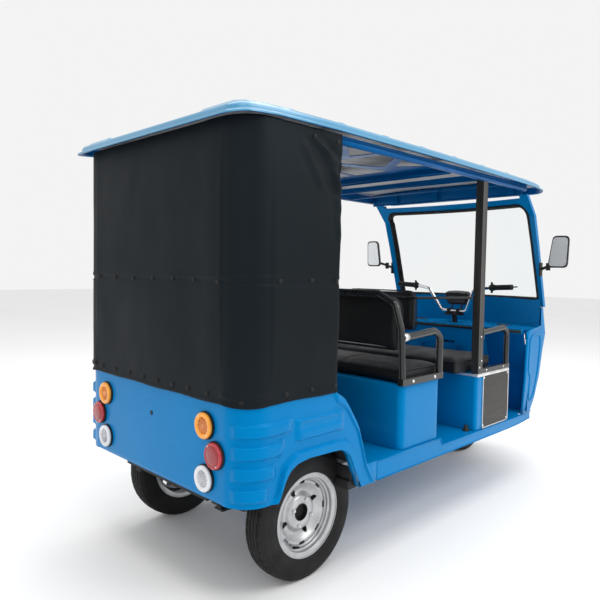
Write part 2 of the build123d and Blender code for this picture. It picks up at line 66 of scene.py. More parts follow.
# ------------------------------------------------------------------ materials
class Mat:
    """small builder for node materials"""

    def __init__(self, name):
        self.m = bpy.data.materials.new(name)
        self.m.use_nodes = True
        self.nt = self.m.node_tree
        self.b = self.nt.nodes["Principled BSDF"]
        self.tc = self.nt.nodes.new("ShaderNodeTexCoord")
        self.height = None

    def node(self, kind, **kw):
        n = self.nt.nodes.new(kind)
        for k, v in kw.items():
            if hasattr(n, k):
                setattr(n, k, v)
            else:
                n.inputs[k].default_value = v
        return n

    def link(self, a, b):
        self.nt.links.new(a, b)

    def setv(self, **kw):
        for k, v in kw.items():
            self.b.inputs[k.replace("_", " ")].default_value = v
        return self

    def noise(self, scale, detail=3.0, rough=0.5, stretch=None):
        n = self.node("ShaderNodeTexNoise")
        n.inputs["Scale"].default_value = scale
        n.inputs["Detail"].default_value = detail
        n.inputs["Roughness"].default_value = rough
        if stretch:
            mp = self.node("ShaderNodeMapping")
            mp.inputs["Scale"].default_value = stretch
            self.link(self.tc.outputs["Object"], mp.inputs["Vector"])
            self.link(mp.outputs["Vector"], n.inputs["Vector"])
        else:
            self.link(self.tc.outputs["Object"], n.inputs["Vector"])
        return n.outputs["Fac"]

    def ramp(self, fac, stops):
        rp = self.node("ShaderNodeValToRGB")
        e = rp.color_ramp.elements
        while len(e) < len(stops):
            e.new(0.5)
        for el, (p, col) in zip(e, stops):
            el.position = p
            el.color = (*col, 1) if len(col) == 3 else col
        self.link(fac, rp.inputs["Fac"])
        return rp.outputs["Color"]

    def vary(self, a, b, scale=3.0, detail=3.0, lo=0.35, hi=0.65, stretch=None):
        self.link(self.ramp(self.noise(scale, detail, stretch=stretch), [(lo, a), (hi, b)]), self.b.inputs["Base Color"])
        return self

    def rough(self, a, b, scale=8.0, detail=4.0, stretch=None):
        mr = self.node("ShaderNodeMapRange")
        mr.inputs["From Min"].default_value = 0.3
        mr.inputs["From Max"].default_value = 0.7
        mr.inputs["To Min"].default_value = a
        mr.inputs["To Max"].default_value = b
        self.link(self.noise(scale, detail, stretch=stretch), mr.inputs["Value"])
        self.link(mr.outputs["Result"], self.b.inputs["Roughness"])
        return self

    def bump(self, fac, strength, dist):
        bp = self.node("ShaderNodeBump")
        bp.inputs["Strength"].default_value = strength
        bp.inputs["Distance"].default_value = dist
        self.link(fac, bp.inputs["Height"])
        if self.height is not None:
            self.link(self.height, bp.inputs["Normal"])
        self.height = bp.outputs["Normal"]
        self.link(self.height, self.b.inputs["Normal"])
        return self

    def wave(self, scale, axis="X", kind="BANDS", distortion=0.0, profile="SIN"):
        w = self.node("ShaderNodeTexWave")
        w.wave_type = kind
        w.bands_direction = axis
        w.wave_profile = profile
        w.inputs["Scale"].default_value = scale
        w.inputs["Distortion"].default_value = distortion
        self.link(self.tc.outputs["Object"], w.inputs["Vector"])
        return w.outputs["Fac"]

    def voronoi(self, scale, feature="DISTANCE_TO_EDGE"):
        v = self.node("ShaderNodeTexVoronoi")
        v.feature = feature
        v.inputs["Scale"].default_value = scale
        self.link(self.tc.outputs["Object"], v.inputs["Vector"])
        return v.outputs["Distance"]

    def math(self, op, a, b):
        n = self.node("ShaderNodeMath")
        n.operation = op
        for i, x in enumerate((a, b)):
            if isinstance(x, (int, float)):
                n.inputs[i].default_value = x
            else:
                self.link(x, n.inputs[i])
        return n.outputs[0]


def paint(name, a, b, rough=(0.2, 0.3), coat=0.35, orange=0.12, metallic=0.0, spec=0.45, tint=(1, 1, 1, 1)):
    q = Mat(name)
    q.vary(a, b, 2.2, 2.0, 0.3, 0.7).rough(rough[0], rough[1], 9.0)
    q.setv(Metallic=metallic, Coat_Weight=coat, Coat_Roughness=0.08, Specular_IOR_Level=spec, Specular_Tint=tint)
    q.bump(q.noise(2.2, 1.0), 0.12, 0.0025)
    q.bump(q.noise(260.0, 2.0), orange, 0.0004)
    return q.m


M = {}
M["body_blue"] = paint("body_blue", (0.0, 0.166, 0.425), (0.0, 0.179, 0.455), rough=(0.20, 0.28), coat=0.0, orange=0.05, spec=0.26, tint=(0.05, 0.60, 1.0, 1))
M["roof_blue"] = paint("roof_blue", (0.035, 0.215, 0.380), (0.055, 0.245, 0.415), rough=(0.16, 0.26), coat=0.25, orange=0.05)
# inner_blue is a darker copy of the body blue for inner, under-roof and leg space parts: painted shade for the shade
# that falls inside the body
M["inner_blue"] = paint("inner_blue", (0.0, 0.070, 0.235), (0.0, 0.082, 0.270), rough=(0.3, 0.42), coat=0.03, orange=0.05, spec=0.3, tint=(0.10, 0.6, 1.0, 1))
M["chassis_black"] = paint("chassis_black", (0.006, 0.006, 0.0065), (0.014, 0.014, 0.015), rough=(0.45, 0.62), coat=0.02, orange=0.3, spec=0.28)

q = Mat("chassis_grey")
q.vary((0.11, 0.112, 0.115), (0.21, 0.21, 0.215), 30.0, 5.0).rough(0.45, 0.7, 40.0).bump(q.noise(220.0, 5.0), 0.5, 0.001)
q.setv(Metallic=0.6)
M["chassis_grey"] = q.m

M["tube_black"] = paint("tube_black", (0.010, 0.011, 0.012), (0.018, 0.019, 0.020), rough=(0.22, 0.32), coat=0.3, orange=0.2, spec=0.4)

q = Mat("post_metal")
q.vary((0.055, 0.055, 0.053), (0.095, 0.093, 0.088), 5.0, 3.0, stretch=(6, 6, 0.5)).rough(0.26, 0.40, 12.0, stretch=(20, 20, 0.7)).bump(q.noise(60.0, 3.0, stretch=(6, 6, 0.2)), 0.15, 0.0006)
q.setv(Metallic=0.75)
M["post_metal"] = q.m

q = Mat("brushed_panel")
q.vary((0.038, 0.036, 0.033), (0.053, 0.050, 0.046), 7.0, 4.0, stretch=(1, 1, 9)).rough(0.34, 0.5, 30.0, stretch=(1, 1, 12)).bump(q.noise(180.0, 3.0, stretch=(0.3, 1, 9)), 0.2, 0.0005)
q.setv(Metallic=0.7)
M["brushed_panel"] = q.m

q = Mat("alu_trim")
q.vary((0.62, 0.62, 0.61), (0.78, 0.78, 0.77), 12.0, 3.0).rough(0.25, 0.4, 40.0, stretch=(0.3, 1, 6)).bump(q.noise(300.0, 2.0), 0.1, 0.0004)
q.setv(Metallic=0.85)
M["alu_trim"] = q.m

q = Mat("seat_vinyl")
q.vary((0.0060, 0.0066, 0.0076), (0.0095, 0.0102, 0.0115), 6.0, 3.0).rough(0.42, 0.56, 10.0)
q.setv(Specular_IOR_Level=0.30)
q.bump(q.voronoi(650.0), 0.35, 0.0006).bump(q.noise(14.0, 4.0), 0.2, 0.003)
M["seat_vinyl"] = q.m

q = Mat("curtain_fabric")
q.vary((0.0034, 0.0052, 0.0068), (0.0056, 0.0082, 0.0108), 1.3, 3.0, 0.3, 0.7).rough(0.44, 0.60, 2.0)
q.setv(Specular_IOR_Level=0.12, Specular_Tint=(0.75, 0.9, 1.0, 1))
q.bump(q.math("ADD", q.wave(170.0, "Z"), q.math("ADD", q.wave(170.0, "X"), q.wave(170.0, "Y"))), 0.12, 0.0005)
q.bump(q.noise(5.0, 4.0), 0.3, 0.006)
q.bump(q.noise(2.4, 3.0, stretch=(1, 1, 0.35)), 0.3, 0.014)
M["curtain_fabric"] = q.m

q = Mat("seal_rubber")
q.setv(Specular_IOR_Level=0.25)
q.vary((0.006, 0.006, 0.0065), (0.011, 0.011, 0.0115), 20.0).rough(0.5, 0.7, 30.0).bump(q.noise(400.0, 3.0), 0.25, 0.0005)
M["seal_rubber"] = q.m

q = Mat("black_plastic")
q.setv(Specular_IOR_Level=0.3)
q.vary((0.008, 0.008, 0.0085), (0.014, 0.014, 0.015), 15.0).rough(0.36, 0.5, 30.0).bump(q.noise(520.0, 3.0), 0.3, 0.0005)
M["black_plastic"] = q.m

q = Mat("clear_glass")
q.vary((0.95, 0.98, 0.98), (0.97, 0.99, 0.99), 2.0)
q.rough(0.01, 0.02, 3.0)
q.setv(Transmission_Weight=1.0, IOR=1.02, Specular_IOR_Level=0.25)
q.bump(q.noise(6.0, 1.0), 0.02, 0.0005)
M["clear_glass"] = q.m

q = Mat("mirror_face")
q.vary((0.80, 0.82, 0.84), (0.84, 0.86, 0.88), 5.0).rough(0.02, 0.05, 12.0).bump(q.noise(4.0, 1.0), 0.05, 0.001)
q.setv(Metallic=0.45)
M["mirror_face"] = q.m


def lens(name, a, b, rgh=(0.12, 0.2), trans=0.0, rings=True):
    q = Mat(name)
    q.vary(a, b, 14.0).rough(rgh[0], rgh[1], 20.0)
    q.setv(Coat_Weight=0.5, Coat_Roughness=0.05, Transmission_Weight=trans, Subsurface_Weight=0.0)
    if rings:
        q.bump(q.math("ADD", q.wave(55.0, "Y"), q.wave(55.0, "Z")), 0.3, 0.0012)
    else:
        q.bump(q.noise(90.0), 0.1, 0.0005)
    return q.m


M["lamp_amber"] = lens("lamp_amber", (0.80, 0.285, 0.010), (0.90, 0.36, 0.020), rings=False)
M["lamp_amber_deep"] = lens("lamp_amber_deep", (0.50, 0.130, 0.005), (0.75, 0.230, 0.010))
M["lamp_red"] = lens("lamp_red", (0.36, 0.006, 0.012), (0.46, 0.012, 0.020), rings=False)
M["lamp_red_deep"] = lens("lamp_red_deep", (0.24, 0.004, 0.010), (0.36, 0.008, 0.016))
M["lamp_white"] = lens("lamp_white", (0.60, 0.61, 0.64), (0.72, 0.73, 0.75), rings=False)
M["lamp_white_deep"] = lens("lamp_white_deep", (0.30, 0.31, 0.35), (0.60, 0.61, 0.65))
M["lamp_clear"] = lens("lamp_clear", (0.70, 0.73, 0.76), (0.80, 0.82, 0.84))

q = Mat("bar_chrome")
q.vary((0.62, 0.62, 0.63), (0.72, 0.72, 0.73), 12.0).rough(0.08, 0.16, 30.0).bump(q.noise(50.0), 0.03, 0.0005)
q.setv(Metallic=1.0)
M["bar_chrome"] = q.m

q = Mat("rim_silver")
q.vary((0.42, 0.425, 0.43), (0.52, 0.525, 0.53), 16.0, 4.0).rough(0.28, 0.42, 24.0).bump(q.noise(420.0, 3.0), 0.16, 0.0005)
q.bump(q.noise(20.0, 2.0), 0.12, 0.002)
q.setv(Metallic=0.75, Coat_Weight=0.2)
M["rim_silver"] = q.m

q = Mat("tyre_rubber")
q.setv(Specular_IOR_Level=0.22)
q.vary((0.0060, 0.0060, 0.0063), (0.0120, 0.0120, 0.0125), 9.0, 5.0).rough(0.50, 0.68, 14.0).bump(q.noise(330.0, 4.0), 0.35, 0.0006)
M["tyre_rubber"] = q.m

q = Mat("roof_grey")
q.vary((0.40, 0.39, 0.385), (0.50, 0.49, 0.48), 4.0, 4.0).rough(0.6, 0.8, 20.0).bump(q.noise(90.0, 5.0), 0.4, 0.001)
M["roof_grey"] = q.m

q = Mat("floor_wear")
q.vary((0.0, 0.225, 0.560), (0.025, 0.270, 0.620), 5.0, 6.0, 0.40, 0.75).rough(0.28, 0.55, 9.0, 6.0).bump(q.noise(120.0, 5.0), 0.25, 0.0008)
M["floor_wear"] = q.m

q = Mat("deck_dark")
q.vary((0.02, 0.02, 0.021), (0.035, 0.035, 0.036), 9.0, 5.0).rough(0.6, 0.8, 14.0).bump(q.noise(200.0, 4.0), 0.35, 0.0006)
M["deck_dark"] = q.m

slots = {w["node"]: w["material_slot"] for w in frame["record"]["subparts"]}
for n, o in NODES.items():
    o.data.materials.clear()
    o.data.materials.append(M[slots[n]])
NODES["roof_posts"].data.materials[0] = M["post_metal"]
NODES["rear_deck"].data.materials[0] = M["deck_dark"]
# the roof frame and lattice take the darker inner blue: painted shade for the shade under the roof
NODES["roof_frame"].data.materials[0] = M["inner_blue"]
NODES["roof_lattice"].data.materials[0] = M["inner_blue"]


# ------------------------------------------------------------------ mesh helpers
def P(x, y, z):
    return Vector((x - XM, y, z))


def obj_from(name, verts, faces, mat, body="body", smooth=True):
    me = bpy.data.meshes.new(name)
    me.from_pydata([tuple(v) for v in verts], [], faces)
    me.validate()
    me.update()
    bm = bmesh.new()
    bm.from_mesh(me)
    bmesh.ops.recalc_face_normals(bm, faces=bm.faces)
    bm.to_mesh(me)
    bm.free()
    if smooth:
        me.polygons.foreach_set("use_smooth", [True] * len(me.polygons))
    ob = bpy.data.objects.new(name, me)
    COL.objects.link(ob)
    for m_ in mat if isinstance(mat, (list, tuple)) else [mat]:
        me.materials.append(M[m_])
    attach(ob, body)
    return ob


def sharp(ob, angle=35):
    """keeps creases crisp"""
    me = ob.data
    bm = bmesh.new()
    bm.from_mesh(me)
    lim = math.radians(angle)
    for e in bm.edges:
        if len(e.link_faces) == 2:
            e.smooth = e.calc_face_angle(0) < lim
    bm.to_mesh(me)
    bm.free()
    return ob


def bake(ob):
    """applies the modifiers"""
    dg = bpy.context.evaluated_depsgraph_get()
    me = bpy.data.meshes.new_from_object(ob.evaluated_get(dg))
    old = ob.data
    ob.modifiers.clear()
    ob.data = me
    bpy.data.meshes.remove(old)
    return ob


def bevel(ob, width, segs=3, angle=30):
    md = ob.modifiers.new("bevel", "BEVEL")
    md.width = width
    md.segments = segs
    md.limit_method = "ANGLE"
    md.angle_limit = math.radians(angle)
    md.harden_normals = False
    bake(ob)
    ob.data.polygons.foreach_set("use_smooth", [True] * len(ob.data.polygons))
    return sharp(ob, 40)


class Bag:
    """collects simple shapes into one mesh"""

    def __init__(self):
        self.v, self.f = [], []

    def add(self, verts, faces):
        k = len(self.v)
        self.v += [Vector(w) for w in verts]
        self.f += [tuple(i + k for i in f) for f in faces]

    def block(self, x0, x1, y0, y1, z0, z1):
        v = [P(x, y, z) for x in (x0, x1) for y in (y0, y1) for z in (z0, z1)]
        self.add(v, [(0, 1, 3, 2), (4, 6, 7, 5), (0, 4, 5, 1), (2, 3, 7, 6), (0, 2, 6, 4), (1, 5, 7, 3)])

    def ring_sweep(self, rings, closed_ring=True, caps=True, loop=False):
        n = len(rings[0])
        k = len(self.v)
        for rg in rings:
            self.v += [Vector(w) for w in rg]
        cnt = len(rings)
        for i in range(cnt if loop else cnt - 1):
            a, b = k + i * n, k + ((i + 1) % cnt) * n
            for j in range(n if closed_ring else n - 1):
                j2 = (j + 1) % n
                self.f.append((a + j, a + j2, b + j2, b + j))
        if caps and closed_ring and not loop:
            self.f.append(tuple(k + j for j in reversed(range(n))))
            self.f.append(tuple(k + (cnt - 1) * n + j for j in range(n)))

    def tube(self, pts, rad, n=14, loop=False, caps=True, flat=1.0):
        pts = [Vector(p) for p in pts]
        rings = []
        up = None
        m = len(pts)
        for i, p in enumerate(pts):
            if loop:
                t = (pts[(i + 1) % m] - pts[i - 1]).normalized()
            else:
                t = (pts[min(i + 1, m - 1)] - pts[max(i - 1, 0)]).normalized()
            if up is None:
                up = t.orthogonal().normalized()
            up = (up - t * up.dot(t)).normalized()
            side = t.cross(up)
            rr = rad[i] if isinstance(rad, (list, tuple)) else rad
            rings.append([p + (up * math.cos(a) * flat + side * math.sin(a)) * rr for a in [2 * math.pi * j / n for j in range(n)]])
        self.ring_sweep(rings, loop=loop, caps=caps)

    def lathe(self, centre, axis, prof, n=48, caps=True):
        """prof is (distance along the axis, radius)"""
        axis = Vector(axis).normalized()
        a = axis.orthogonal().normalized()
        b = axis.cross(a)
        rings = []
        for t, rr in prof:
            rings.append([Vector(centre) + axis * t + (a * math.cos(q) + b * math.sin(q)) * max(rr, 1e-4) for q in [2 * math.pi * j / n for j in range(n)]])
        self.ring_sweep(rings, caps=caps)

    def make(self, name, mat, body="body", smooth=True):
        return obj_from(name, self.v, self.f, mat, body, smooth)


def arc_path(pts, rad, steps=8):
    """straight runs joined by round corners"""
    pts = [Vector(p) for p in pts]
    out = [pts[0]]
    for i in range(1, len(pts) - 1):
        a, b, c_ = pts[i - 1], pts[i], pts[i + 1]
        u1, u2_ = (a - b).normalized(), (c_ - b).normalized()
        ang = u1.angle(u2_)
        cut = min(rad / math.tan(ang / 2), (a - b).length * 0.48, (c_ - b).length * 0.48)
        p0, p1 = b + u1 * cut, b + u2_ * cut
        for k in range(steps + 1):
            t = k / steps
            out.append(p0 * (1 - t) ** 2 + b * 2 * t * (1 - t) + p1 * t * t)
    out.append(pts[-1])
    return out


def lerp(a, b, t):
    return a + (b - a) * t


def interp(x, tab):
    if x <= tab[0][0]:
        return tab[0][1]
    for (x0, y0), (x1, y1) in zip(tab, tab[1:]):
        if x <= x1:
            return y0 + (y1 - y0) * (x - x0) / (x1 - x0)
    return tab[-1][1]


def smooth01(t):
    t = max(0.0, min(1.0, t))
    return t * t * (3 - 2 * t)


def gauss(x, m_, w_):
    return math.exp(-((x - m_) / w_) ** 2)


# ------------------------------------------------------------------ path round the back of the vehicle
HW, RX, CR = 0.578, -0.428, 0.115


def u_path(hw, rx, cr, xf, step=0.012, arcs=18):
    """points and outward normals from the right front end, round the back, to the left front end; tag tells the side"""
    pts = []
    n = max(2, int((xf - (rx + cr)) / step))
    for i in range(n):
        x = lerp(xf, rx + cr, i / n)
        pts.append((x, -hw, 0, -1, "r"))
    for i in range(arcs):
        a = math.radians(90 * i / arcs)
        pts.append((rx + cr - cr * math.sin(a), -hw + cr - cr * math.cos(a), -math.sin(a), -math.cos(a), "cr"))
    m_ = int(2 * (hw - cr) / step)
    for i in range(m_):
        y = lerp(-hw + cr, hw - cr, i / m_)
        pts.append((rx, y, -1, 0, "b"))
    for i in range(arcs):
        a = math.radians(90 * i / arcs)
        pts.append((rx + cr - cr * math.cos(a), hw - cr + cr * math.sin(a), -math.cos(a), math.sin(a), "cl"))
    for i in range(n + 1):
        x = lerp(rx + cr, xf, i / n)
        pts.append((x, hw, 0, 1, "l"))
    return pts


# ------------------------------------------------------------------ rear body skin
ARCH = [(-0.2760, 0.415), (-0.262, 0.440), (-0.240, 0.490), (-0.216, 0.522), (-0.180, 0.541), (-0.120, 0.549), (0.020, 0.5455), (0.060, 0.542), (0.092, 0.530), (0.118, 0.506), (0.140, 0.460), (0.196, 0.354)]
FRONT = [(0.030, 0.790), (0.046, 0.768), (0.075, 0.752), (0.098, 0.736), (0.123, 0.704), (0.180, 0.622), (0.234, 0.462), (0.300, 0.355)]


def lower_z(x, tag):
    if tag in ("b", "cr", "cl"):
        return 0.415
    if x < -0.2760:
        return 0.415
    if x <= 0.196:
        return interp(x, ARCH)
    return 0.353


def upper_z(x, tag):
    if tag in ("b", "cr", "cl") or x < 0.030:
        return 0.790
    return max(interp(x, FRONT), 0.356)


RIBS_Z = [(0.686, 0.203), (0.611, 0.164), (0.536, 0.126), (0.461, 0.092)]


def rib_window(sx, reach):
    """how strongly a corner rib shows at an arc length measured from the middle of the corner (+ towards the front)"""
    return smooth01((sx + 0.052) / 0.024) * smooth01((reach - sx) / 0.018)


def skin_offset(x, y, z, tag):
    """how far the pressed shapes stand out of the plain skin"""
    off = 0.0
    ay = abs(y)
    mid = RX + CR * (1 - math.sqrt(0.5))
    if tag in ("cr", "cl"):
        ang = math.atan2(ay - (HW - CR), -(x - (RX + CR)))
        sx = (ang - math.pi / 4) * CR
    elif tag in ("r", "l"):
        sx = math.pi / 4 * CR + (x - (RX + CR))
    else:
        sx = -math.pi / 4 * CR - ((HW - CR) - ay)
    if -0.16 < sx < 0.26:
        for rz, reach in RIBS_Z:
            w_ = rib_window(sx, reach)
            t = z - rz
            off += 0.0115 * w_ * smooth01((0.0275 - t) / 0.0110) * smooth01((t + 0.0275) / 0.0090)
    if tag in ("r", "l"):
        # long pressed panel on the quarter
        def rr(x0, x1, z0, z1, sl):
            zz = z - sl * (x - x0)
            return smooth01((x - x0) / 0.014) * smooth01((x1 - x) / 0.014) * smooth01((zz - z0) / 0.010) * smooth01((z1 - zz) / 0.010)
        if x > -0.22:
            off += 0.0095 * rr(-0.180, 0.084, 0.616, 0.702, 0.0)
            off -= 0.0030 * rr(-0.168, 0.072, 0.650, 0.690, 0.0)
        # flared lip above the wheel
        if -0.34 < x < 0.30 and lower_z(x, tag) > 0.36:
            top = interp(x, [(-0.2760, 0.43), (-0.24, 0.54), (-0.18, 0.585), (0.04, 0.586), (0.11, 0.575), (0.16, 0.50), (0.225, 0.37)])
            off += 0.0165 * smooth01((top - z) / 0.0120) * smooth01((x + 0.292) / 0.020) * smooth01((0.25 - x) / 0.02)
        # rolled front edge
        uz = upper_z(x, tag)
        if x > 0.03:
            dist = max(0.0, (uz - z)) * 0.55
            off += 0.0085 * smooth01((0.024 - dist) / 0.008) - 0.009 * math.exp(-(dist / 0.006) ** 2)
    if tag == "b":
        off += 0.0012 * math.sin(y * 5.0) * gauss(z, 0.6, 0.2)
        off -= 0.003 * smooth01((0.428 - z) / 0.010)
    return off


def side_stations():
    """stations along the path"""
    base = u_path(HW, RX, CR, 0.3005, step=0.010)
    return base


PATH = side_stations()
ROWS = 150
verts, faces = [], []
T = 0.004
for side_off in (0.0, -T):
    for (x, y, nx, ny, tag) in PATH:
        z0, z1 = lower_z(x, tag), upper_z(x, tag)
        for j in range(ROWS + 1):
            z = lerp(z0, z1, j / ROWS)
            o_ = skin_offset(x, y, z, tag) + side_off
            verts.append(P(x + nx * o_, y + ny * o_, z))
cols = len(PATH)
W = ROWS + 1
half = cols * W
for i in range(cols - 1):
    for j in range(ROWS):
        a = i * W + j
        faces.append((a, a + 1, a + W + 1, a + W))
        a += half
        faces.append((a, a + W, a + W + 1, a + 1))
for i in range(cols - 1):
    for j in (0, ROWS):
        a, b_ = i * W + j, (i + 1) * W + j
        faces.append((a, b_, b_ + half, a + half) if j == 0 else (a, a + half, b_ + half, b_))
for i in (0, cols - 1):
    for j in range(ROWS):
        a, b_ = i * W + j, i * W + j + 1
        faces.append((a, a + half, b_ + half, b_))
skin = obj_from("rear_body_skin", verts, faces, "body_blue")
sharp(skin, 50)
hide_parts("rear_body")

# inner returns of the arch and the front edge
bag = Bag()
for sy in (-1, 1):
    def strip(pts, depth, thick=0.003):
        rings = []
        for x, z in pts:
            o_ = skin_offset(x, sy * HW, z + 0.001, "r" if sy < 0 else "l")
            yo = sy * (HW + o_)
            rings.append([P(x, yo, z), P(x, yo - sy * depth, z), P(x, yo - sy * depth, z + thick), P(x, yo - sy * 0.003, z + thick)])
        bag.ring_sweep(rings)
    strip([(x, z) for x, z in ARCH], 0.034)
    rings = []
    for x, z in [(0.03, 0.790)] + FRONT[1:]:
        yo = sy * (HW - 0.003)
        rings.append([P(x, yo, z), P(x - 0.004, yo, z - 0.004), P(x - 0.004, yo - sy * 0.030, z - 0.004), P(x, yo - sy * 0.030, z)])
    bag.ring_sweep(rings)
bag.make("rear_body_returns", "body_blue")

# small bright fixing hole edge in the middle of the rear face
bag = Bag()
bag.lathe(P(RX - 0.0005, 0.0, 0.660), (-1, 0, 0), [(0, 0.0045), (0.0012, 0.0062), (0.0012, 0.0085), (0, 0.0095)], 20)
bag.make("plate_hole_ring", "seal_rubber")
bag = Bag()
bag.lathe(P(RX - 0.0010, 0.0, 0.660), (-1, 0, 0), [(0, 0.006), (0.0008, 0.0055), (0.0008, 0.0)], 18)
bag.make("plate_hole_plug", "deck_dark")


# ------------------------------------------------------------------ lamps
def lamp(name, y, z, ring, deep, domed):
    base = P(RX - 0.001, y, z)
    ax = (-1, 0, 0)
    g = Bag()
    g.lathe(base + Vector((0.0015, -math.copysign(0.0, y), 0)), ax, [(0, 0.0), (0, 0.0500), (0.003, 0.0515), (0.008, 0.0510), (0.010, 0.0488), (0.010, 0.0)], 56)
    a_ = g.make(name + "_gasket", "seal_rubber")
    g = Bag()
    if domed:
        g.lathe(base, ax, [(0.006, 0.0), (0.006, 0.0482), (0.014, 0.0480), (0.0175, 0.0462), (0.0190, 0.0430), (0.0186, 0.0385), (0.0172, 0.0372), (0.0172, 0.0)], 56)
        b1 = g.make(name + "_ring", ring)
        g = Bag()
        g.lathe(base, ax, [(0.016, 0.0370), (0.0195, 0.0345), (0.0215, 0.026), (0.0225, 0.012), (0.0228, 0.0)], 56)
        b2 = g.make(name + "_lens", deep)
    else:
        g.lathe(base, ax, [(0.006, 0.0), (0.006, 0.0482), (0.0145, 0.0480), (0.0180, 0.0460), (0.0195, 0.0420), (0.0190, 0.0345), (0.0165, 0.0312), (0.0125, 0.0305), (0.0125, 0.0)], 56)
        b1 = g.make(name + "_ring", ring)
        g = Bag()
        g.lathe(base, ax, [(0.0120, 0.0303), (0.0140, 0.026), (0.0135, 0.021), (0.0150, 0.018), (0.0140, 0.013), (0.0155, 0.009), (0.0150, 0.0)], 48)
        for k in range(10):
            an = 2 * math.pi * k / 10
            g.tube([base + Vector((-0.0150, 0.010 * math.cos(an), 0.010 * math.sin(an))), base + Vector((-0.0150, 0.0285 * math.cos(an), 0.0285 * math.sin(an)))], 0.0011, 6)
        b2 = g.make(name + "_lens", deep)
    g = Bag()
    for an in (0.9, 4.04):
        g.lathe(base + Vector((-0.0185, 0.0400 * math.cos(an), 0.0400 * math.sin(an))), ax, [(0, 0.0), (0, 0.0032), (0.0015, 0.0028), (0.0016, 0.0)], 12)
    b3 = g.make(name + "_screws", "alu_trim")
    return [a_, b1, b2, b3]


groups = {"lamps_amber": (0.370, 0.683, "lamp_amber", "lamp_amber_deep", False), "lamps_red": (0.430, 0.586, "lamp_red", "lamp_red_deep", True), "lamps_white": (0.370, 0.490, "lamp_white", "lamp_white_deep", False)}
for node, (yy, zz, ring, deep, dm) in groups.items():
    for sy, nm in ((-1, "right"), (1, "left")):
        got = lamp(f"{node}_{nm}", sy * yy, zz, ring, deep, dm)
        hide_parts(node)

# ------------------------------------------------------------------ curtain
CZ0, CZ1, CFX = 0.7735, 1.762, 0.037
CH, CRX, CCR = HW + 0.0055, RX - 0.0085, CR + 0.006


def curtain_offset(sarc, x, y, z, tag):
    """billow, corner tension folds and the creases below the roof on the right side"""
    v_ = (z - CZ0) / (CZ1 - CZ0)
    off = 0.0
    off += 0.0035 * noise.noise(Vector((x * 3.0, y * 3.0, z * 1.6))) + 0.0016 * noise.noise(Vector((x * 9.0 + 3, y * 9.0, z * 5.0)))
    off += 0.004 * math.sin(math.pi * v_) * (1 if tag in ("b", "r", "l") else 0.4)
    # seam that holds the upper and lower widths together
    dz = z - 1.2045
    near = gauss(dz, 0.0, 0.016)
    off -= 0.0036 * near
    off += 0.0040 * gauss(dz, 0.013, 0.0055)
    if tag in ("cr", "cl"):
        off += 0.0045 * gauss(dz, 0.0065, 0.0042) - 0.0035 * gauss(dz, -0.004, 0.004) + 0.003 * gauss(dz, -0.016, 0.005)
        hz = z - CZ0
        off += 0.0050 * gauss(hz, 0.034, 0.008) - 0.003 * gauss(hz, 0.018, 0.006)
        off -= 0.003 * math.sin(math.pi * v_)
    # hem
    off += 0.0022 * smooth01((0.014 - (z - CZ0)) / 0.004)
    if tag == "r":
        # diagonal creases that run down from the front top corner
        for k, (x0, z0, x1, z1, dep, wid) in enumerate([(0.030, 1.640, -0.125, 1.735, 0.0060, 0.016), (0.034, 1.560, -0.060, 1.700, 0.0075, 0.018), (0.036, 1.480, 0.000, 1.650, 0.0060, 0.015), (-0.07, 1.56, -0.16, 1.70, 0.0040, 0.020), (0.03, 1.38, 0.012, 1.52, 0.004, 0.012)]):
            dx, dz2 = x1 - x0, z1 - z0
            L = math.hypot(dx, dz2)
            t = ((x - x0) * dx + (z - z0) * dz2) / L / L
            dist = abs((x - x0) * dz2 - (z - z0) * dx) / L
            fade = smooth01((t + 0.25) / 0.3) * smooth01((1.15 - t) / 0.3)
            off += dep * fade * (math.exp(-(dist / wid) ** 2) - 0.6 * math.exp(-((dist - wid * 1.6) / wid) ** 2))
        off += 0.002 * math.sin(z * 19 + x * 5) * smooth01((x + 0.10) / 0.12)
    if tag == "b":
        off += 0.0014 * math.sin(y * 7 + z * 2.0) * (1 - v_) + 0.002 * gauss(y, -0.40, 0.05)
    return max(-0.0030, off)


CP = u_path(CH, CRX, CCR, CFX, step=0.0095, arcs=26)
CROWS = 150
verts, faces = [], []
arc = [0.0]
for a, b_ in zip(CP, CP[1:]):
    arc.append(arc[-1] + math.hypot(b_[0] - a[0], b_[1] - a[1]))
for lay in (0.0, -0.0022):
    for k, (x, y, nx, ny, tag) in enumerate(CP):
        for j in range(CROWS + 1):
            z = lerp(CZ0, CZ1, j / CROWS)
            hem = 0.0
            if tag in ("b",):
                hem = 0.0
            zz = z
            if j == 0:
                zz -= 0.0015 * math.sin(arc[k] * 21.0)
            # lower corner hangs a little lower
            if tag in ("cr", "cl"):
                zz -= 0.006 * (1 - j / CROWS) ** 3 * math.sin(math.pi * min(1, max(0, (math.atan2(abs(y) - (CH - CCR), -(x - (CRX + CCR)))) / (math.pi / 2))))
            o_ = curtain_offset(arc[k], x, y, z, tag) + lay
            verts.append(P(x + nx * o_, y + ny * o_, zz))
cols = len(CP)
W = CROWS + 1
half = cols * W
for i in range(cols - 1):
    for j in range(CROWS):
        a = i * W + j
        faces.append((a, a + 1, a + W + 1, a + W))
        a += half
        faces.append((a, a + W, a + W + 1, a + 1))
    for j in (0, CROWS):
        a, b_ = i * W + j, (i + 1) * W + j
        faces.append((a, b_, b_ + half, a + half))
for i in (0, cols - 1):
    for j in range(CROWS):
        a, b_ = i * W + j, i * W + j + 1
        faces.append((a, a + half, b_ + half, b_))
curtain = obj_from("curtain_cloth", verts, faces, "curtain_fabric")
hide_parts("rear_curtain")

# press studs of the curtain
bag = Bag()
hem_bag = Bag()


def path_at(sv):
    for k in range(len(arc) - 1):
        if arc[k + 1] >= sv:
            t = (sv - arc[k]) / (arc[k + 1] - arc[k])
            a, b_ = CP[k], CP[k + 1]
            return (lerp(a[0], b_[0], t), lerp(a[1], b_[1], t), lerp(a[2], b_[2], t), lerp(a[3], b_[3], t), a[4])
    return CP[-1]


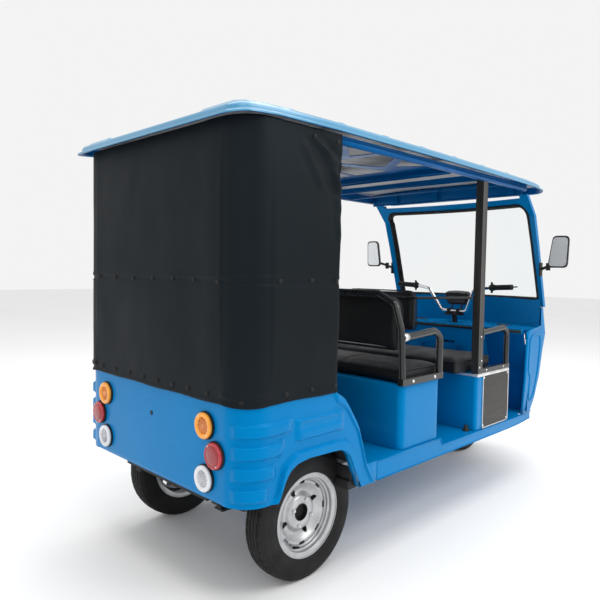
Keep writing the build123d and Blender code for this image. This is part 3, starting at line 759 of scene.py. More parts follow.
def stud(sv, z, rr=0.0090):
    x, y, nx, ny, tag = path_at(sv)
    o_ = curtain_offset(sv, x, y, z, tag)
    nn = Vector((nx, ny, 0)).normalized()
    bag.lathe(P(x, y, z) + nn * (o_ - 0.0004), nn, [(0, 0), (0, rr * 1.15), (0.0016, rr * 1.1), (0.0046, rr * 0.80), (0.0060, rr * 0.45), (0.0062, 0.0)], 16)


TOT = arc[-1]
s_right_corner0 = CFX - (CRX + CCR)            # arc length where the right corner starts
s_corner = math.pi / 2 * CCR
s_back0 = s_right_corner0 + s_corner
s_back1 = s_back0 + 2 * (CH - CCR)


def s_of_side(x):
    return CFX - x


def s_of_back(y):
    return s_back0 + (y + (CH - CCR))


mid_studs = [s_of_side(0.026), s_of_side(-0.115), s_of_side(-0.275), s_of_back(-0.445), s_of_back(-0.300), s_of_back(-0.165), s_of_back(-0.02), s_of_back(0.130), s_of_back(0.285), s_of_back(0.43)]
low_studs = [s_of_side(0.026), s_of_side(-0.105), s_of_side(-0.235), s_right_corner0 + 0.55 * s_corner, s_of_back(-0.385), s_of_back(-0.265), s_of_back(-0.165), s_of_back(-0.06), s_of_back(0.05), s_of_back(0.165), s_of_back(0.285), s_of_back(0.40)]
for sv in mid_studs + [TOT - w_ for w_ in mid_studs[:3]]:
    stud(sv, 1.2045 + 0.004 * math.sin(sv * 9))
for sv in low_studs + [TOT - w_ for w_ in low_studs[:4]]:
    stud(sv, CZ0 + 0.028 if sv != low_studs[3] else CZ0 + 0.016)
for sv in (s_of_side(-0.115), s_of_side(0.012), TOT - s_of_side(-0.115), TOT - s_of_side(0.012)):
    stud(sv, CZ1 - 0.030)
studs = bag.make("curtain_studs", "seal_rubber")

# ------------------------------------------------------------------ roof
RZ, RHW, RX0, RX1 = 1.768, 0.600, -0.490, 1.930


def roof_section(t, n=26):
    """rounded rectangle ring at level t, which is not used: the body is empty and returns nothing"""
    pass


def rr_ring(x0, x1, hw, rad, per=14, edge=46):
    pts = []
    cs = [(x1 - rad, hw - rad, 0), (x0 + rad, hw - rad, 90), (x0 + rad, -hw + rad, 180), (x1 - rad, -hw + rad, 270)]
    for k, (cx, cy, a0) in enumerate(cs):
        for i in range(per + 1):
            a = math.radians(a0 + 90 * i / per)
            pts.append((cx + rad * math.cos(a), cy + rad * math.sin(a)))
        nx_ = cs[(k + 1) % 4]
        a1 = math.radians(nx_[2])
        q0 = pts[-1]
        q1 = (nx_[0] + rad * math.cos(a1), nx_[1] + rad * math.sin(a1))
        m_ = edge if k in (0, 2) else edge // 2
        for i in range(1, m_):
            pts.append((lerp(q0[0], q1[0], i / m_), lerp(q0[1], q1[1], i / m_)))
    return pts


RIB_X = [-0.20, 0.085, 0.37, 0.655, 0.94, 1.225, 1.51]
RCN = 0.085


def roof_lower(x):
    """lower edge of the roof, it droops at both ends"""
    return RZ + interp(x, [(-0.49, -0.018), (-0.43, -0.010), (-0.30, 0.000), (0.0, 0.004), (0.8, 0.001), (1.5, -0.008), (1.78, -0.014), (1.88, -0.024), (1.93, -0.034)])


def roof_height(x, y, ins):
    """height of the top above the lower edge"""
    e = 0.037 + 0.026 * smooth01((ins - 0.05) / 0.40)
    ay = abs(y)
    side = smooth01((ay - 0.325) / 0.022) * smooth01((0.556 - ay) / 0.016)
    ends = smooth01((x + 0.452) / 0.022) * smooth01((1.872 - x) / 0.030)
    gaps = 0.0
    for rx_ in RIB_X:
        gaps += math.exp(-((x - rx_) / 0.020) ** 4)
    e += 0.0125 * side * ends * (1 - 0.0 * gaps)
    cross = smooth01((0.552 - ay) / 0.02) * ends
    e += 0.0055 * gaps * cross
    return e


verts, faces = [], []
LEV = [(0.000, 0.000), (0.0000, 0.0055), (0.0020, 0.0072), (0.0110, 0.0085), (0.0150, 0.0110), (0.0175, 0.0170), (0.0205, 0.0270), (0.0260, 0.0335), (0.0340, 0.0365)]
per_, edge_ = 14, 130
rings = []
for ins, hz in LEV:
    rings.append([(x, y, roof_lower(x) + hz) for x, y in rr_ring(RX0 + ins, RX1 - ins, RHW - ins, max(0.02, RCN - ins), per_, edge_)])
STEPS = [0.040, 0.046, 0.052, 0.058, 0.064, 0.070] + [0.078 + 0.0125 * k for k in range(41)] + [0.585]
for ins in STEPS:
    ring = []
    for x, y in rr_ring(RX0 + ins, RX1 - ins, RHW - ins, min(0.115, RHW - ins - 0.001), per_, edge_):
        drop = (roof_lower(x) - RZ) * (1 - 0.6 * smooth01(ins / 0.5))
        ring.append((x, y, min(1.8475, RZ + drop + roof_height(x, y, ins))))
    rings.append(ring)
nring = len(rings[0])
for ring in rings:
    for x, y, z in ring:
        verts.append(P(x, y, z))
for i in range(len(rings) - 1):
    for j in range(nring):
        j2 = (j + 1) % nring
        faces.append((i * nring + j, i * nring + j2, (i + 1) * nring + j2, (i + 1) * nring + j))
last = (len(rings) - 1) * nring
faces.append(tuple(last + j for j in range(nring)))
outer = obj_from("roof_skin", verts, faces, "roof_blue")
sharp(outer, 60)
# inner face, a little smaller, light grey fibre above a blue flange
verts, faces = [], []
inner_levels = [(0.000, 0.000), (0.0140, 0.0010), (0.0200, 0.0080), (0.0250, 0.0240), (0.0420, 0.0310)]
rings = []
for ins, hz in inner_levels:
    rings.append([(x, y, roof_lower(x) + hz) for x, y in rr_ring(RX0 + ins, RX1 - ins, RHW - ins, max(0.02, RCN - ins), per_, edge_)])
for k in range(1, 10):
    t = k / 9
    ins = 0.042 + t * 0.54
    ring = []
    for x, y in rr_ring(RX0 + ins, RX1 - ins, RHW - ins, min(0.115, RHW - ins - 0.001), per_, edge_):
        drop = (roof_lower(x) - RZ) * (1 - 0.6 * smooth01(ins / 0.5))
        ring.append((x, y, RZ + drop + 0.031 + 0.022 * smooth01((ins - 0.05) / 0.4)))
    rings.append(ring)
for ring in rings:
    for x, y, z in ring:
        verts.append(P(x, y, z))
for i in range(len(rings) - 1):
    for j in range(nring):
        j2 = (j + 1) % nring
        faces.append((i * nring + j, (i + 1) * nring + j, (i + 1) * nring + j2, i * nring + j2))
last = (len(rings) - 1) * nring
faces.append(tuple(last + j for j in reversed(range(nring))))
inner = obj_from("roof_inner_skin", verts, faces, ["roof_grey", "inner_blue"])
for p_ in inner.data.polygons:
    if p_.index < nring * 4:
        p_.material_index = 1
sharp(inner, 60)
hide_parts("roof_shell")

# bright cross lips and side tubes below the roof, lining edge beads
bag = Bag()
for sy in (-1, 1):
    bag.tube([P(-0.36, sy * 0.560, 1.744), P(0.6, sy * 0.560, 1.744), P(1.70, sy * 0.560, 1.738)], 0.013, 12)
for x in (0.895, 1.21, 1.45):
    bag.tube([P(x, -0.536, 1.738), P(x, 0.0, 1.742), P(x, 0.536, 1.738)], 0.0055, 8)
bag.make("roof_side_tubes", "inner_blue")
bag = Bag()
for (y0, y1) in ((-0.30, -0.015), (0.015, 0.30), (-0.50, -0.33), (0.33, 0.50)):
    bag.block(1.680, 1.6885, y0, y1, 1.718, 1.790)
hd = bag.make("header_panels", "inner_blue", smooth=False)
bevel(hd, 0.004, 2)

# ------------------------------------------------------------------ tyres
TR, TWH = 0.262, 0.0525


def tyre(name, node, x, y, body):
    prof = [(0.1505, 0.0390), (0.1600, 0.0405), (0.1705, 0.0425), (0.1745, 0.0465), (0.1800, 0.0482), (0.1840, 0.0478), (0.1900, 0.0505), (0.2020, 0.0522), (0.2140, 0.0525), (0.2260, 0.0512), (0.2330, 0.0500), (0.2350, 0.0506), (0.2375, 0.0495), (0.2460, 0.0462), (0.2530, 0.0430), (0.2566, 0.0400)]
    n = 220
    grooves = [-0.0265, -0.0090, 0.0090, 0.0265]
    tread = []
    m_ = 40
    for k in range(m_ + 1):
        w_ = lerp(0.0395, -0.0395, k / m_)
        tread.append(w_)
    g = Bag()
    rings = []
    for i in range(n):
        a = 2 * math.pi * i / n
        ring = []
        for rr, w_ in prof:
            ring.append((rr, w_))
        for w_ in tread:
            crown = 0.2618 - 0.0042 * (abs(w_) / 0.0395) ** 2.4
            dpt = 0.0
            for gv in grooves:
                zig = gv + 0.0012 * (1 if (i // 3) % 2 == 0 else -1)
                dpt = max(dpt, 0.0048 * smooth01((0.0030 - abs(w_ - zig)) / 0.0010))
            if abs(w_) > 0.0290:
                if i % 5 == 0:
                    dpt = max(dpt, 0.0035)
            elif i % 10 in (0,) and 0.011 < abs(w_) < 0.0245:
                dpt = max(dpt, 0.0022)
            ring.append((crown - dpt, w_))
        for rr, w_ in reversed(prof):
            ring.append((rr, -w_))
        for w_ in (-0.030, 0.0, 0.030):
            ring.append((0.1500, w_))
        rings.append([P(x, y + w_, TR) + Vector((rr * math.sin(a), 0, rr * math.cos(a))) for rr, w_ in ring])
    g.ring_sweep(rings, loop=True)
    ob = g.make(name, "tyre_rubber", body)
    sharp(ob, 42)
    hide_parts(node)
    return ob


tyre("front_tyre_tread", "front_tyre", 2.06, 0.0, "front_wheel")
tyre("rear_right_tyre_tread", "rear_right_tyre", 0.0, -0.4325, "rear_right_wheel")
tyre("rear_left_tyre_tread", "rear_left_tyre", 0.0, 0.4325, "rear_left_wheel")


# ------------------------------------------------------------------ rims
def rim(name, node, y, side, body):
    """deep dished steel rim: turned shape as a polar grid with pressed openings"""
    def prof_pt(t):
        return t
    prof = [  # radius, offset towards the outside
        (0.1700, 0.0470), (0.1712, 0.0455), (0.1705, 0.0432), (0.1660, 0.0415), (0.1600, 0.0402), (0.1530, 0.0395), (0.1512, 0.0370), (0.1508, 0.0300), (0.1500, 0.0255),
        (0.1440, 0.0235), (0.1425, 0.0200), (0.1420, 0.0120), (0.1405, 0.0080), (0.1370, 0.0062), (0.1330, 0.0070), (0.1290, 0.0092), (0.1240, 0.0098), (0.1180, 0.0070), (0.1080, -0.0010), (0.0960, -0.0085),
        (0.0860, -0.0115), (0.0800, -0.0095), (0.0740, -0.0030), (0.0690, 0.0030), (0.0640, 0.0060), (0.0560, 0.0068), (0.0480, 0.0066), (0.0400, 0.0060), (0.0352, 0.0050)]
    n = 192
    g = Bag()
    k0 = 0
    ringpts = []

    def hole(rr, a):
        # four large ovals inside the dish and eight slots near the edge
        for q in range(4):
            a0 = math.radians(45 + 90 * q + 22)
            da = (a - a0 + math.pi) % (2 * math.pi) - math.pi
            if ((rr - 0.0900) / 0.0150) ** 2 + (da * rr / 0.0115) ** 2 < 1.0:
                return True
        for q in range(8):
            a0 = math.radians(22.5 + 45 * q + 22)
            da = (a - a0 + math.pi) % (2 * math.pi) - math.pi
            if abs(rr - 0.1275) < 0.0058 and abs(da) * rr < 0.0150:
                return True
        return False
    # finer radial steps
    fine = []
    for (a1, b1), (a2, b2) in zip(prof, prof[1:]):
        m_ = max(1, int(math.hypot(a1 - a2, b1 - b2) / 0.0028))
        for i in range(m_):
            fine.append((lerp(a1, a2, i / m_), lerp(b1, b2, i / m_)))
    fine.append(prof[-1])
    verts, faces = [], []
    th = 0.0030
    for lay in (0, 1):
        for i in range(n):
            a = 2 * math.pi * i / n
            for rr, w_ in fine:
                lug = 0.0
                if lay == 0 and rr < 0.075:
                    for q in range(4):
                        a0 = math.radians(90 * q + 22)
                        dx_ = rr * math.cos(a) - 0.054 * math.cos(a0)
                        dy_ = rr * math.sin(a) - 0.054 * math.sin(a0)
                        lug += 0.0035 * math.exp(-((dx_ * dx_ + dy_ * dy_) / 0.011 ** 2))
                rr2 = rr - (th if lay and rr > 0.142 else 0)
                w2 = w_ + lug - (th if lay and rr <= 0.142 else 0)
                verts.append(P(0.0, y, TR) + Vector((rr2 * math.sin(a), side * w2, rr2 * math.cos(a))))
    W_ = len(fine)
    H_ = n * W_
    open_cells = set()
    for i in range(n):
        am = 2 * math.pi * (i + 0.5) / n
        for j in range(W_ - 1):
            rm = (fine[j][0] + fine[j + 1][0]) / 2
            if hole(rm, am):
                open_cells.add((i, j))
    for i in range(n):
        i2 = (i + 1) % n
        for j in range(W_ - 1):
            if (i, j) in open_cells:
                continue
            a, b_ = i * W_ + j, i2 * W_ + j
            faces.append((a, a + 1, b_ + 1, b_))
            faces.append((a + H_, b_ + H_, b_ + 1 + H_, a + 1 + H_))
            # walls next to openings
            if ((i - 1) % n, j) in open_cells:
                faces.append((a, a + H_, a + 1 + H_, a + 1))
            if (i2, j) in open_cells:
                faces.append((b_, b_ + 1, b_ + 1 + H_, b_ + H_))
            if (i, j - 1) in open_cells:
                faces.append((a, b_, b_ + H_, a + H_))
            if (i, j + 1) in open_cells:
                faces.append((a + 1, a + 1 + H_, b_ + 1 + H_, b_ + 1))
    for i in range(n):
        i2 = (i + 1) % n
        j = W_ - 1
        faces.append((i * W_ + j, i * W_ + j + H_, i2 * W_ + j + H_, i2 * W_ + j))
        faces.append((i * W_, i2 * W_, i2 * W_ + H_, i * W_ + H_))
    ob = obj_from(name, verts, faces, "rim_silver", body)
    sharp(ob, 50)
    # barrel behind the disc, inner flange, drum, hub and valve
    g = Bag()
    g.lathe(P(0, y, TR), (0, side, 0), [(0.0240, 0.1500), (0.010, 0.1500), (-0.040, 0.1500), (-0.043, 0.1700), (-0.047, 0.1708), (-0.046, 0.1500), (-0.043, 0.1460), (0.010, 0.1460), (0.024, 0.1462), (0.024, 0.1500)], 96, caps=False)
    barrel = g.make(name + "_barrel", "rim_silver", body)
    sharp(barrel, 40)
    g = Bag()
    g.lathe(P(0, y, TR), (0, side, 0), [(-0.016, 0.0), (-0.016, 0.110), (-0.022, 0.118), (-0.075, 0.120), (-0.080, 0.112), (-0.080, 0.0)], 64)
    for q in range(24):
        a = 2 * math.pi * q / 24
        c1 = P(0, y - side * 0.045, TR) + Vector((0.1195 * math.sin(a), 0, 0.1195 * math.cos(a)))
        g.tube([c1 + Vector((0, side * 0.020, 0)), c1 - Vector((0, side * 0.020, 0))], 0.0022, 6)
    drum = g.make(name + "_drum", "chassis_black", body)
    sharp(drum, 40)
    g = Bag()
    g.lathe(P(0, y, TR), (0, side, 0), [(-0.014, 0.0), (-0.014, 0.0350), (0.0068, 0.0350), (0.0072, 0.0325), (-0.010, 0.0310), (-0.010, 0.0)], 40)
    hub = g.make(name + "_hub", "seal_rubber", body)
    sharp(hub, 40)
    g = Bag()
    for q in range(4):
        a0 = math.radians(90 * q + 22)
        cpt = P(0, y + side * 0.0095, TR) + Vector((0.054 * math.sin(a0), 0, 0.054 * math.cos(a0)))
        g.lathe(cpt, (0, side, 0), [(0, 0.0), (0, 0.0078), (0.0060, 0.0078), (0.0075, 0.0062), (0.0075, 0.0042), (0.0115, 0.0040), (0.0120, 0.0)], 6)
    nuts = g.make(name + "_nuts", "alu_trim", body, smooth=False)
    g = Bag()
    av = math.radians(203)
    c0 = P(0, y + side * 0.020, TR) + Vector((0.1365 * math.sin(av), 0, 0.1365 * math.cos(av)))
    dirv = Vector((-0.35 * math.sin(av), side * 0.9, -0.35 * math.cos(av))).normalized()
    g.tube([c0 - dirv * 0.006, c0 + dirv * 0.004, c0 + dirv * 0.018, c0 + dirv * 0.026], [0.0062, 0.0052, 0.0040, 0.0042], 12)
    g.make(name + "_valve", "seal_rubber", body)
    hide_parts(node)
    return ob


rim("rear_right_rim_disc", "rear_right_rim", -0.4325, -1, "rear_right_wheel")
rim("rear_left_rim_disc", "rear_left_rim", 0.4325, 1, "rear_left_wheel")


def rounded_block(name, x0, x1, y0, y1, z0, z1, rad, mat, crown_axis=None, segs=4, bend=None):
    bm = bmesh.new()
    bmesh.ops.create_cube(bm, size=1.0)
    for v in bm.verts:
        v.co = Vector((lerp(x0, x1, v.co.x + 0.5) - XM, lerp(y0, y1, v.co.y + 0.5), lerp(z0, z1, v.co.z + 0.5)))
    bmesh.ops.bevel(bm, geom=bm.edges[:], offset=rad, segments=segs, profile=0.6, affect="EDGES")
    me = bpy.data.meshes.new(name)
    bm.to_mesh(me)
    bm.free()
    ob = bpy.data.objects.new(name, me)
    COL.objects.link(ob)
    me.materials.append(M[mat])
    me.polygons.foreach_set("use_smooth", [True] * len(me.polygons))
    return ob


def puff(ob, pressure, cap, voxel=0.010, keep_flat=None, frames=20):
    """swells a closed form with cloth so that it crowns between its edges"""
    md = ob.modifiers.new("remesh", "REMESH")
    md.mode = "VOXEL"
    md.voxel_size = voxel
    bake(ob)
    start = [v.co.copy() for v in ob.data.vertices]
    sc = bpy.context.scene
    cl = ob.modifiers.new("cloth", "CLOTH")
    st = cl.settings
    st.quality = 5
    st.mass = 0.3
    st.use_pressure = True
    st.uniform_pressure_force = pressure
    st.effector_weights.gravity = 0.0
    st.tension_stiffness = 12
    st.compression_stiffness = 12
    st.bending_stiffness = 0.6
    cl.point_cache.frame_start = 1
    cl.point_cache.frame_end = frames
    for f_ in range(1, frames + 1):
        sc.frame_set(f_)
    bake(ob)
    sc.frame_set(1)
    for v, s0 in zip(ob.data.vertices, start):
        dv = v.co - s0
        if dv.length > cap:
            v.co = s0 + dv.normalized() * cap
    if keep_flat is not None:
        for v in ob.data.vertices:
            if v.co.z < keep_flat:
                v.co.z = keep_flat
    # even out the small steps of the remesh
    sm = ob.modifiers.new("smooth", "SMOOTH")
    sm.factor = 0.5
    sm.iterations = 4
    bake(ob)
    ob.data.polygons.foreach_set("use_smooth", [True] * len(ob.data.polygons))
    return ob


def fit_into(ob, lo, hi):
    """keeps the swollen form inside the space of its CAD solid"""
    vs = ob.data.vertices
    for ax in range(3):
        a = min(v.co[ax] for v in vs)
        b_ = max(v.co[ax] for v in vs)
        s_ = (hi[ax] - lo[ax]) / (b_ - a)
        for v in vs:
            v.co[ax] = lo[ax] + (v.co[ax] - a) * s_


def piping(name, pts, rr=0.0035, mat="seat_vinyl"):
    g = Bag()
    g.tube(pts, rr, 8, loop=True)
    return g.make(name, mat)


def rect_loop(x0, x1, y0, y1, rad, zf, axis="z", n=8):
    """closed rounded rectangle of points; axis z: (x, y) plane, axis x: (y, z) plane"""
    out = []
    for cx, cy, a0 in ((x1 - rad, y1 - rad, 0), (x0 + rad, y1 - rad, 90), (x0 + rad, y0 + rad, 180), (x1 - rad, y0 + rad, 270)):
        for i in range(n + 1):
            a = math.radians(a0 + 90 * i / n)
            px, py = cx + rad * math.cos(a), cy + rad * math.sin(a)
            out.append(P(px, py, zf) if axis == "z" else P(zf, px, py))
    return out


def seat_cushion(name, node, x0, x1, hw, z0, z1):
    ob = rounded_block(name, x0 + 0.008, x1 - 0.008, -hw + 0.008, hw - 0.008, z0, z1 - 0.010, 0.022, "seat_vinyl")
    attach(ob, "body")
    puff(ob, 4.0, 0.016, 0.0125, keep_flat=z0)
    fit_into(ob, (x0 - XM, -hw, z0), (x1 - XM, hw, z1))
    # sewn cross channels
    for v in ob.data.vertices:
        t = (v.co.z - z0) / (z1 - z0)
        if t > 0.5:
            for yc in (-hw / 3, hw / 3):
                v.co.z -= 0.0035 * math.exp(-((v.co.y - yc) / 0.010) ** 2)
    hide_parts(node)
    zs = z0 + (z1 - z0) * 0.74
    piping(name + "_piping", rect_loop(x0 + 0.0015, x1 - 0.0015, -hw + 0.0015, hw - 0.0015, 0.026, zs))
    return ob


seat_cushion("middle_seat_pad", "middle_bench_cushion", 0.531, 0.848, 0.538, 0.736, 0.812)
seat_cushion("driver_seat_pad", "driver_seat_cushion", 1.075, 1.450, 0.505, 0.709, 0.797)
seat_cushion("rear_seat_pad", "rear_bench_cushion", -0.330, 0.140, 0.480, 0.650, 0.740)


def back_pad(name, node, x0, x1, hw, z0, z1, corner=0.075):
    """upright pad with rounded upper corners"""
    n = 10
    outline = []
    for cy, cz, a0, rd in ((hw - corner, z1 - corner, 0, corner), (-hw + corner, z1 - corner, 90, corner), (-hw + 0.02, z0 + 0.02, 180, 0.02), (hw - 0.02, z0 + 0.02, 270, 0.02)):
        for i in range(n + 1):
            a = math.radians(a0 + 90 * i / n)
            outline.append((cy + rd * math.cos(a), cz + rd * math.sin(a)))
    cy_, cz_ = 0.0, (z0 + z1) / 2
    g = Bag()
    rings = []
    for xf, sc in ((x0 + 0.004, 0.955), (x0 + 0.009, 0.980), (x0 + 0.018, 0.992), (x1 - 0.018, 0.992), (x1 - 0.009, 0.980), (x1 - 0.004, 0.955)):
        k_ = 1 - sc
        rings.append([P(xf, yy * (1 - k_ * 0.5), cz_ + (zz - cz_) * (1 - k_)) for yy, zz in outline])
    g.ring_sweep(rings)
    ob = g.make(name, "seat_vinyl")
    puff(ob, 4.0, 0.014, 0.0125)
    fit_into(ob, (x0 - XM, -hw, z0), (x1 - XM, hw, z1))
    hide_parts(node)
    for tag_, xf in (("back", x0 + 0.012), ("front", x1 - 0.012)):
        piping(f"{name}_piping_{tag_}", [P(xf, yy * 0.997, cz_ + (zz - cz_) * 0.992) for yy, zz in outline], 0.003)
    return ob


back_pad("middle_back_pad", "middle_bench_backrest", 0.529, 0.587, 0.508, 0.884, 1.134)
back_pad("driver_back_pad", "driver_backrest", 1.048, 1.106, 0.240, 0.925, 1.140, 0.055)
back_pad("rear_back_pad", "rear_bench_backrest", -0.400, -0.340, 0.480, 0.760, 1.160)

# ------------------------------------------------------------------ trims, bolts
bag = Bag()
for sy in (-1, 1):
    y0, y1 = sorted((sy * 0.5625, sy * 0.5665))
    # light edge on the rim of the driver's box, its side panel frame
    for z0, z1, x0, x1 in ((0.690, 0.705, 1.192, 1.556),):
        bag.block(x0, x1, y0, y1, z0, z1)
    bag.block(1.5520, 1.5580, *sorted((sy * 0.5560, sy * 0.5672)), 0.403, 0.704)
    bag.block(1.2565, 1.2620, *sorted((sy * 0.5625, sy * 0.5672)), 0.403, 0.704)
    bag.block(1.2565, 1.5580, *sorted((sy * 0.5625, sy * 0.5672)), 0.4025, 0.409)
    bag.block(1.192, 1.556, *sorted((sy * 0.5430, sy * 0.5665)), 0.7052, 0.7064)
bag.block(1.1885, 1.1900, -0.562, 0.562, 0.692, 0.7055)
tr = bag.make("driver_box_trim", "alu_trim", smooth=False)
bevel(tr, 0.0012, 2)
bag = Bag()
for sy in (-1, 1):
    for x, z in ((1.270, 0.418), (1.543, 0.418), (1.270, 0.680), (1.543, 0.680)):
        bag.lathe(P(x, sy * 0.5642, z), (0, sy, 0), [(0, 0), (0, 0.0065), (0.0012, 0.0062), (0.0030, 0.0042), (0.0034, 0.0)], 14)
    for x in (0.575, 0.755):
        bag.lathe(P(x, sy * 0.5758, 0.748), (0, sy, 0), [(0, 0), (0, 0.0080), (0.0012, 0.0078), (0.0042, 0.0052), (0.0050, 0.0)], 14)
    for x in (1.30, 1.50):
        bag.lathe(P(x, sy * 0.5598, 0.7185), (0, sy, 0), [(0, 0), (0, 0.0055), (0.0012, 0.0052), (0.0032, 0.0035), (0.0036, 0.0)], 12)
    for x, z in ((1.215, 0.740), (1.235, 0.775), (1.225, 0.905)):
        bag.lathe(P(x, sy * 0.5630, z), (0, sy, 0), [(0, 0), (0, 0.0055), (0.0012, 0.0052), (0.0034, 0.0035), (0.0036, 0.0)], 12)
bag.make("panel_screws", "alu_trim")

# light cap where the armrest meets the hoop, foot plates, floor bolt bracket
bag = Bag()
for sy in (-1, 1):
    bag.tube([P(0.522, sy * 0.5502, 0.9470), P(0.535, sy * 0.5508, 0.9480), P(0.552, sy * 0.5512, 0.9492)], [0.0186, 0.0190, 0.0186], 18)
bag.make("armrest_caps", "alu_trim")
bag = Bag()
for sy in (-1, 1):
    bag.tube([P(1.248, sy * 0.545, 0.922), P(1.268, sy * 0.545, 0.9226)], 0.0195, 18)
    bag.block(1.246, 1.2525, *sorted((sy * 0.522, sy * 0.566)), 0.893, 0.951)
bag.make("post_brackets", "tube_black")
bag = Bag()
for sy in (-1, 1):
    bag.lathe(P(1.168, sy * 0.520, 0.4005), (0, 0, 1), [(0, 0), (0, 0.020), (0.004, 0.019), (0.014, 0.010), (0.030, 0.008), (0.031, 0.0)], 16)
bag.make("floor_stops", "black_plastic")

# rounded front-facing corners of the benches, glossy pressed boxes
def rounded_box_shell(name, node, x0, x1, hw, z0, z1, rad=0.034):
    g = Bag()
    rings = []
    ring_xy = rr_ring(x0, x1, hw, rad, 8, 24)
    top_xy = rr_ring(x0 + 0.006, x1 - 0.006, hw - 0.006, rad - 0.006, 8, 24)
    for z in [lerp(z0, z1 - 0.006, k / 10) for k in range(11)]:
        rings.append([P(x, y, z) for x, y in ring_xy])
    rings.append([P(x, y, z1 - 0.0015) for x, y in rr_ring(x0 + 0.0018, x1 - 0.0018, hw - 0.0018, rad - 0.0018, 8, 24)])
    rings.append([P(x, y, z1) for x, y in top_xy])
    g.ring_sweep(rings)
    ob = g.make(name, "body_blue")
    sharp(ob, 50)
    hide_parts(node)
    return ob


rounded_box_shell("middle_bench_shell", "middle_bench_base", 0.5052, 0.8298, 0.5618, 0.4385, 0.7320)
rounded_box_shell("driver_box_shell", "driver_seat_base", 1.1902, 1.5548, 0.5618, 0.4015, 0.7048, 0.020)

# pressed seams along the floor plinth and sill
bag = Bag()
for sy in (-1, 1):
    y_ = sy * 0.5728
    for pts in ([(0.330, 0.4345), (0.800, 0.4345), (0.828, 0.4345), (0.842, 0.3980), (1.20, 0.3975), (1.70, 0.3975), (1.845, 0.4000)],):
        bag.tube(arc_path([P(x, y_, z) for x, z in pts], 0.01, 4), 0.0032, 8)
    bag.tube(arc_path([P(x, sy * 0.5722, z) for x, z in ((0.326, 0.3515), (1.560, 0.3515), (1.700, 0.3545), (1.848, 0.3655))], 0.05, 5), 0.0030, 8)
bag.make("sill_beads", "body_blue")

# ------------------------------------------------------------------ cowl side pressings
COWL = [(0.372, 0.545, 1.945, 2.030), (0.470, 0.553, 2.000, 2.110), (0.600, 0.560, 2.042, 2.190), (0.760, 0.564, 2.070, 2.250), (0.870, 0.566, 2.102, 2.275), (1.034, 0.560, 2.070, 2.212)]


def cowl_at(z):
    z = max(COWL[0][0], min(COWL[-1][0], z))
    for a, b_ in zip(COWL, COWL[1:]):
        if z <= b_[0]:
            t = (z - a[0]) / (b_[0] - a[0])
            return [lerp(a[k], b_[k], t) for k in range(1, 4)]
    return list(COWL[-1][1:])


bag = Bag()
for sy in (-1, 1):
    # rolled rear edge of the side panel
    pts = [P(1.792, sy * (cowl_at(0.385)[0]), 0.385), P(1.792, sy * cowl_at(0.60)[0], 0.60), P(1.794, sy * cowl_at(0.86)[0], 0.862), P(1.812, sy * 0.565, 0.893), P(1.86, sy * 0.5655, 0.902), P(1.990, sy * 0.5645, 0.918)]
    bag.tube(arc_path(pts, 0.03, 6), 0.0085, 12)
    # pressed outline of the panel
    def yo(z):
        return sy * (cowl_at(z)[0] + 0.0006)
    loop = [(1.900, 0.872), (1.850, 0.866), (1.832, 0.830), (1.832, 0.650), (1.860, 0.620), (1.862, 0.480), (1.890, 0.455), (1.930, 0.500), (1.965, 0.640), (1.985, 0.800), (1.975, 0.868)]
    lp = arc_path([P(x, yo(z), z) for x, z in loop + [loop[0]]], 0.03, 5)
    bag.tube(lp[:-1], 0.0048, 8, loop=True)
bag.make("cowl_side_beads", "body_blue")

# ------------------------------------------------------------------ dash details
bag = Bag()
g2 = Bag()
for sy in (-1, 1):
    bag.lathe(P(1.992, sy * 0.312, 0.9088), (0, 0, 1), [(-0.060, 0.0), (-0.060, 0.034), (0.0, 0.0385), (0.0022, 0.0405), (0.0022, 0.0445), (0.0, 0.0465), (-0.003, 0.0405), (-0.062, 0.036), (-0.062, 0.0)], 40)
bag.make("dash_cups", "deck_dark")
# leg space painted shade: dark inner blue liner sheets on the toe board, inside the cowl sides and along the floor
# edge, put where the leg space lies in shade
bag = Bag()
TOE = [(1.7865, 0.900), (1.7690, 0.878), (1.8485, 0.640), (1.8465, 0.4015)]
for y0, y1 in ((-0.556, -0.306), (0.306, 0.556)):
    rings = []
    for x, z in TOE:
        rings.append([P(x - 0.0025, y0, z), P(x - 0.0025, y1, z), P(x - 0.0005, y1, z), P(x - 0.0005, y0, z)])
    bag.ring_sweep(rings)
for sy in (-1, 1):
    rings = []
    for z in (0.402, 0.47, 0.60, 0.76, 0.895):
        hw_ = cowl_at(z)[0] - 0.0052
        rings.append([P(1.792, sy * hw_, z), P(1.905, sy * hw_, z), P(1.905, sy * (hw_ - 0.002), z), P(1.792, sy * (hw_ - 0.002), z)])
    bag.ring_sweep(rings)
    bag.block(1.80, 1.93, *sorted((sy * 0.31, sy * 0.545)), 0.3885, 0.3955)
    bag.block(1.80, 1.965, *sorted((sy * 0.5400, sy * 0.5560)), 0.896, 0.9045)
for sy in (-1, 1):
    bag.block(1.798, 1.850, *sorted((sy * 0.5480, sy * 0.5600)), 0.8500, 0.9000)
ln = bag.make("leg_space_painted_shade_liners", "inner_blue", smooth=False)
bag = Bag()
bag.tube([P(1.766, -0.538, 0.895), P(1.766, -0.2, 0.893), P(1.766, 0.2, 0.893), P(1.766, 0.538, 0.895)], 0.0085, 10)
bag.make("dash_edge_trim", "seal_rubber")
bag = Bag()
for yv, zv in ((-0.10, 0.74), (0.06, 0.74), (0.18, 0.73)):
    bag.block(1.800, 1.806, yv - 0.018, yv + 0.018, zv - 0.03, zv + 0.03)
blk_ = bag.make("dash_blank_plates", "inner_blue", smooth=False)
bevel(blk_, 0.002, 2)

# ------------------------------------------------------------------ windscreen beads
SCR = [(1.037, 2.066, 0.130), (1.120, 2.040, 0.130), (1.420, 1.945, 0.110), (1.600, 1.880, 0.090), (1.715, 1.768, 0.070)]


